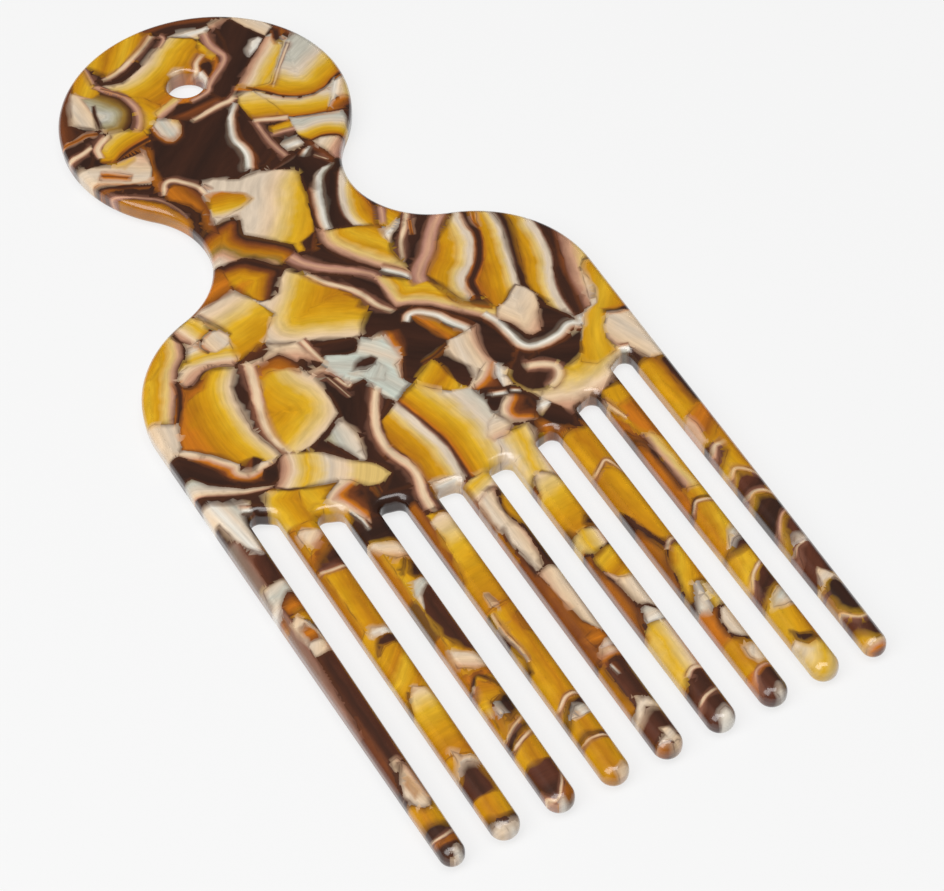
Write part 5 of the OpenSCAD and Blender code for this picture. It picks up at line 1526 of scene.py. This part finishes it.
def nearest(points, a, b):
    """Distance of each point from the nearest of the lines a to b, and that line's number.

    Distances over FAR are given as FAR.
    """
    step = b - a
    size = np.maximum(np.sum(step ** 2, axis=1), 1e-12)
    gap, which = np.full(len(points), FAR), np.zeros(len(points), int)
    cell = np.floor(points / CELL).astype(int)
    member = np.unique(cell, axis=0, return_inverse=True)[1].ravel()
    order = np.argsort(member, kind="stable")
    for here in np.split(order, np.cumsum(np.bincount(member))[:-1]):
        low, high = points[here].min(0) - FAR - STEP, points[here].max(0) + FAR + STEP
        near = np.flatnonzero(np.all((a > low) & (a < high), axis=1))
        if not len(near):
            continue
        d = points[here][:, None, :] - a[near][None, :, :]
        t = np.clip(np.sum(d * step[near], axis=2) / size[near], 0, 1)
        square = np.sum((d - t[:, :, None] * step[near]) ** 2, axis=2)
        gap[here] = np.minimum(np.sqrt(square.min(axis=1)), FAR)
        which[here] = near[square.argmin(axis=1)]
    return gap, which


def laminate(mesh, corner_chip):
    """Per face corner: distance from its chip's line, distance along it, and the chip's number."""
    plan = np.array(mesh.verts)[np.concatenate([np.array(f) for f in mesh.faces])]
    at = plan[:, :2] + (THICK - plan[:, 2:3]) * SHEAR
    out = np.zeros((len(at), 3))
    for n in np.unique(corner_chip):
        here = corner_chip == n
        out[here, 0], out[here, 1] = layers_at(at[here], chips[n]["line"])
        out[here, 0] /= chips[n]["scale"]
        out[here, 2] = n
    return out


def add_attribute(data, label, kind, values):
    """Gives every face corner a value that the material reads by its label."""
    attribute = data.attributes.new(label, kind, "CORNER")
    field = "vector" if kind == "FLOAT_VECTOR" else "value"
    attribute.data.foreach_set(field, np.array(values, np.float32).ravel())


def make_object(name, mesh, material):
    """Turns a mesh into a Blender object, in metres, with what its material reads."""
    data = bpy.data.meshes.new(name)
    verts = np.array(mesh.verts) * MM
    data.from_pydata(verts.tolist(), [], mesh.faces)
    for p in data.polygons:
        p.use_smooth = True
    normals = []
    for f, flat in zip(mesh.faces, mesh.flat_normal):
        normals += [flat] * len(f) if flat is not None else [mesh.normals[v] for v in f]
    own = np.repeat(mesh.face_chip, [len(f) for f in mesh.faces])
    gap, across = seams(mesh)
    for label, corner_chip in (("own", own), ("across", across)):
        add_attribute(data, label, "FLOAT_VECTOR", laminate(mesh, corner_chip))
        add_attribute(data, label + "_kind", "FLOAT", [chips[n]["kind"] for n in corner_chip])
    add_attribute(data, "seam", "FLOAT", gap)
    data.materials.append(material)
    data.validate()
    data.normals_split_custom_set(normals)
    obj = bpy.data.objects.new(name, data)
    bpy.context.scene.collection.objects.link(obj)
    return obj


# ---------------------------------------------------------------- materials
def linear(rgb):
    """A colour given as 0 to 255 display values, as Blender's own."""
    return tuple(c / 255 / 12.92 if c <= 10 else ((c / 255 + 0.055) / 1.055) ** 2.4 for c in rgb)


class Nodes:
    """Short ways to add and link shader nodes. Each but add gives the new node's output."""

    def __init__(self, material):
        self.tree = material.node_tree
        self.tree.nodes.clear()

    def add(self, kind, inputs=None, **settings):
        """A new node. Inputs are values, or the outputs of other nodes."""
        node = self.tree.nodes.new("ShaderNode" + kind)
        for key, value in settings.items():
            setattr(node, key, value)
        for key, value in (inputs or {}).items():
            socket = node.inputs[key]
            if isinstance(value, bpy.types.NodeSocket):
                self.tree.links.new(value, socket)
            else:
                socket.default_value = value
        return node

    def math(self, operation, *values):
        return self.add("Math", dict(enumerate(values)), operation=operation).outputs[0]

    def mix(self, share, a, b, blend="MIX"):
        """Colour b over colour a, by its share."""
        node = self.add("Mix", {0: share, 6: a, 7: b}, data_type="RGBA", blend_type=blend)
        return node.outputs[2]

    def span(self, value, low, high, to_low=0.0, to_high=1.0):
        """A value's place from low to high, as one from to_low to to_high."""
        inputs = {0: value, 1: low, 2: high, 3: to_low, 4: to_high}
        return self.add("MapRange", inputs).outputs[0]

    def noise(self, vector, scale, detail=2.0, roughness=0.5):
        inputs = {"Vector": vector, "Scale": scale, "Detail": detail, "Roughness": roughness}
        return self.add("TexNoise", inputs).outputs[0]

    def ramp(self, value, stops):
        """The colour at a value from 0 to 1, between stops of (place, colour)."""
        node = self.add("ValToRGB", {0: value})
        ramp = node.color_ramp
        while len(ramp.elements) < len(stops):
            ramp.elements.new(1.0)
        for element, (place, colour) in zip(ramp.elements, stops):
            element.position = place
            element.color = (*linear(colour), 1.0)
        return node.outputs[0]


RAMP_LOW, RAMP_HIGH = -4.0, 12.0    # mm to the left of a chip's line that its ramp covers
NOISE_STEP = 13.7                   # puts each chip in its own part of the noise, in mm
WANDER = (0.55, 0.25, 3.0)          # how far layers stray: per mm from the line, at it, at most
RIPPLE = 0.12                       # small waves of the layers, in mm
STREAK = (0.84, 1.12)               # darkest and brightest of the streaks along the layers
BLUR = (0.2, 0.9)                   # least and most distance over which two chips blend, in mm
FADE, FADE_SHARE = 0.5, 0.2         # width of the brown fade along borders in mm, and its share
SEAM_LINE = (0.03, 0.13)            # where the dark line between chips starts and ends to fade
SEAM_SHARE = 0.4                    # how strong that line is
FADE_COLOUR, SEAM_COLOUR = (112, 60, 22), (52, 26, 18)


def stack_colour(n, label, place_mm):
    """Colour of the stripes of the chip that the labelled attributes describe."""
    layers = n.add("Attribute", attribute_name=label).outputs["Vector"]
    kind = n.add("Attribute", attribute_name=label + "_kind").outputs["Fac"]
    off, along, number = n.add("SeparateXYZ", {0: layers}).outputs
    own = n.add("CombineXYZ", {2: n.math("MULTIPLY", number, NOISE_STEP)}).outputs[0]
    placed = n.add("VectorMath", {0: place_mm, 1: own}, operation="ADD").outputs[0]

    # Layer borders wander more, the further they are from the chip's line.
    wander = n.math("SUBTRACT", n.noise(placed, 0.3, 2.0, 0.55), 0.5)
    reach = n.math("MULTIPLY_ADD", n.math("ABSOLUTE", off), *WANDER[:2])
    reach = n.math("MINIMUM", reach, WANDER[2])
    ripple = n.math("SUBTRACT", n.noise(placed, 1.6, 1.0), 0.5)
    shifted = n.math("MULTIPLY_ADD", wander, reach, off)
    shifted = n.math("MULTIPLY_ADD", ripple, RIPPLE, shifted)
    ramp_at = n.span(shifted, RAMP_LOW, RAMP_HIGH)

    # The ramp of the last kind whose number the chip's kind reaches.
    colour = None
    for index, name in enumerate(KIND_NAMES):
        stops = [((w - RAMP_LOW) / (RAMP_HIGH - RAMP_LOW), PALETTE[c]) for w, c in KINDS[name]]
        own_colour = n.ramp(ramp_at, stops)
        chosen = n.math("GREATER_THAN", kind, index - 0.5)
        colour = own_colour if colour is None else n.mix(chosen, colour, own_colour)

    # Pearl streaks along the layers.
    grain = n.add("CombineXYZ", {0: n.math("MULTIPLY", off, 1.5),
                                 1: n.math("MULTIPLY", along, 0.16),
                                 2: n.math("MULTIPLY", number, 7.3)}).outputs[0]
    streak = n.span(n.noise(grain, 1.0, 3.0, 0.6), 0.3, 0.7, *STREAK)
    grey = n.add("CombineColor", {0: streak, 1: streak, 2: streak}).outputs[0]
    return n.mix(1.0, colour, grey, "MULTIPLY")


def acetate_material():
    """Polished mosaic acetate, coloured by the chips that each face corner describes."""
    material = bpy.data.materials.new("mosaic_acetate")
    material.use_nodes = True
    n = Nodes(material)
    place = n.add("TexCoord").outputs["Object"]
    place_mm = n.add("VectorMath", {0: place, 3: 1 / MM}, operation="SCALE").outputs[0]
    seam = n.add("Attribute", attribute_name="seam").outputs["Fac"]

    # Neighbouring chips run into each other, more in some places than in others.
    own, across = (stack_colour(n, label, place_mm) for label in ("own", "across"))
    blur = n.span(n.noise(place_mm, 0.22, 1.0), 0.36, 0.62, *BLUR)
    share = n.math("MULTIPLY", n.span(n.math("DIVIDE", seam, blur), 0.0, 1.0, 1.0, 0.0), 0.5)
    colour = n.mix(share, own, across)
    fade = n.span(seam, 0.0, FADE, FADE_SHARE, 0.0)
    colour = n.mix(fade, colour, (*linear(FADE_COLOUR), 1.0))

    # A thin dark line where two chips meet, broken here and there.
    gate = n.span(n.noise(place_mm, 0.45, 1.0), 0.46, 0.62)
    line = n.math("MULTIPLY", n.span(seam, *SEAM_LINE, 1.0, 0.0), gate)
    colour = n.mix(n.math("MULTIPLY", line, SEAM_SHARE), colour, (*linear(SEAM_COLOUR), 1.0))

    # The polish leaves the sheet slightly uneven, with a faint groove between chips.
    swell = n.noise(place_mm, 0.12, 1.0)
    groove = n.span(seam, 0.0, 0.25, 0.0, 1.0)
    height = n.math("MULTIPLY_ADD", swell, 4.0, groove)
    bump = n.add("Bump", {"Height": height, "Strength": 0.12, "Distance": 0.00002})
    shader = n.add("BsdfPrincipled", {
        "Base Color": colour, "Roughness": 0.3, "IOR": 1.48, "Specular IOR Level": 0.35,
        "Coat Weight": 0.7, "Coat Roughness": 0.05, "Normal": bump.outputs[0]})
    n.add("OutputMaterial", {0: shader.outputs[0]})
    return material


acetate = acetate_material()
outlines = piece_outlines()
hole_path = Path().arc(np.array([0.0, HOLE_Y]), HOLE_R, 0.0, 2 * math.pi, inwards=True,
                       radius=RIM_R)
edge_paths = [q for paths in outlines.values() for q in paths] + [hole_path]
RIM = {
    "start": np.array([p for q in edge_paths for p in q.points[:-1]]),
    "end": np.array([p for q in edge_paths for p in q.points[1:]]),
    "normal": np.array([n for q in edge_paths for n in zip(q.normals[:-1], q.normals[1:])]),
    "radius": np.array([r for q in edge_paths for r in zip(q.radii[:-1], q.radii[1:])]),
}
for name, paths in outlines.items():
    mesh = build_piece(paths, hole_path if name == "handle_disc" else None)
    obj = make_object("acetate_" + name, mesh, acetate)
    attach(obj, "root")
    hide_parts(name)


# ---------------------------------------------------------------- floor, light and camera
def floor_material():
    """White paper that is lit evenly, so that the comb's shadow on it is faint."""
    material = bpy.data.materials.new("floor_paper")
    material.use_nodes = True
    n = Nodes(material)
    shader = n.add("BsdfPrincipled", {
        "Base Color": (0.15, 0.15, 0.15, 1.0), "Roughness": 0.9, "Specular IOR Level": 0.0,
        "Emission Color": (1.0, 1.0, 1.0, 1.0), "Emission Strength": 0.75})
    n.add("OutputMaterial", {0: shader.outputs[0]})
    return material


def add_floor(half):
    """A square floor, half a side long either way, just below the comb."""
    data = bpy.data.meshes.new("floor")
    corners = [(-half, -half, 0), (half, -half, 0), (half, half, 0), (-half, half, 0)]
    data.from_pydata(corners, [], [(0, 1, 2, 3)])
    data.materials.append(floor_material())
    floor = bpy.data.objects.new("floor", data)
    bpy.context.scene.collection.objects.link(floor)
    floor.location.z = -0.2 * MM


def aim(obj, place, target):
    """Puts obj at a place, facing a target, both in metres."""
    obj.location = place
    obj.rotation_mode = "QUATERNION"
    obj.rotation_quaternion = (Vector(target) - Vector(place)).to_track_quat("-Z", "Y")


def direction(azimuth, elevation):
    a, e = math.radians(azimuth), math.radians(elevation)
    return Vector((math.sin(a) * math.cos(e), -math.cos(a) * math.cos(e), math.sin(e)))


def add_softbox(name, azimuth, elevation, distance, size, power):
    """A soft area light that faces the comb. Sizes are in metres, the power in watts."""
    data = bpy.data.lights.new(name, "AREA")
    data.shape = "RECTANGLE"
    data.size, data.size_y = size
    data.energy = power
    box = bpy.data.objects.new(name, data)
    bpy.context.scene.collection.objects.link(box)
    aim(box, direction(azimuth, elevation) * distance, (0, 0, 0))


def add_camera():
    """The photograph's view, with its slight roll."""
    azimuth, elevation, roll = -27.23, 49.74, math.radians(-2.64)
    target = Vector((3.1, -25.85, 0.0)) * MM
    distance = 395.4 * MM
    back = direction(azimuth, elevation)
    right = direction(azimuth + 90, 0)
    up = back.cross(right)
    side = math.cos(roll) * right + math.sin(roll) * up
    top = math.cos(roll) * up - math.sin(roll) * right
    data = bpy.data.cameras.new("camera")
    data.sensor_width = 36.0
    data.lens = 100.7
    data.shift_x, data.shift_y = -0.0056, 0.0168
    data.clip_start, data.clip_end = 0.01, 20.0
    camera = bpy.data.objects.new("camera", data)
    bpy.context.scene.collection.objects.link(camera)
    turn = Matrix((side, top, back)).transposed()
    camera.matrix_world = Matrix.Translation(target + back * distance) @ turn.to_4x4()
    bpy.context.scene.camera = camera


def add_world():
    """A little white light from all round."""
    world = bpy.data.worlds.new("studio")
    world.use_nodes = True
    background = world.node_tree.nodes["Background"]
    background.inputs["Color"].default_value = (1.0, 1.0, 1.0, 1.0)
    background.inputs["Strength"].default_value = 0.1
    bpy.context.scene.world = world


add_floor(1.5)
add_world()
add_softbox("softbox_left", -75, 45, 1.0, (0.7, 0.7), 7.0)
add_softbox("softbox_above", -20, 84, 1.1, (0.9, 0.6), 9.0)
add_camera()
bpy.context.scene.view_settings.view_transform = "Standard"
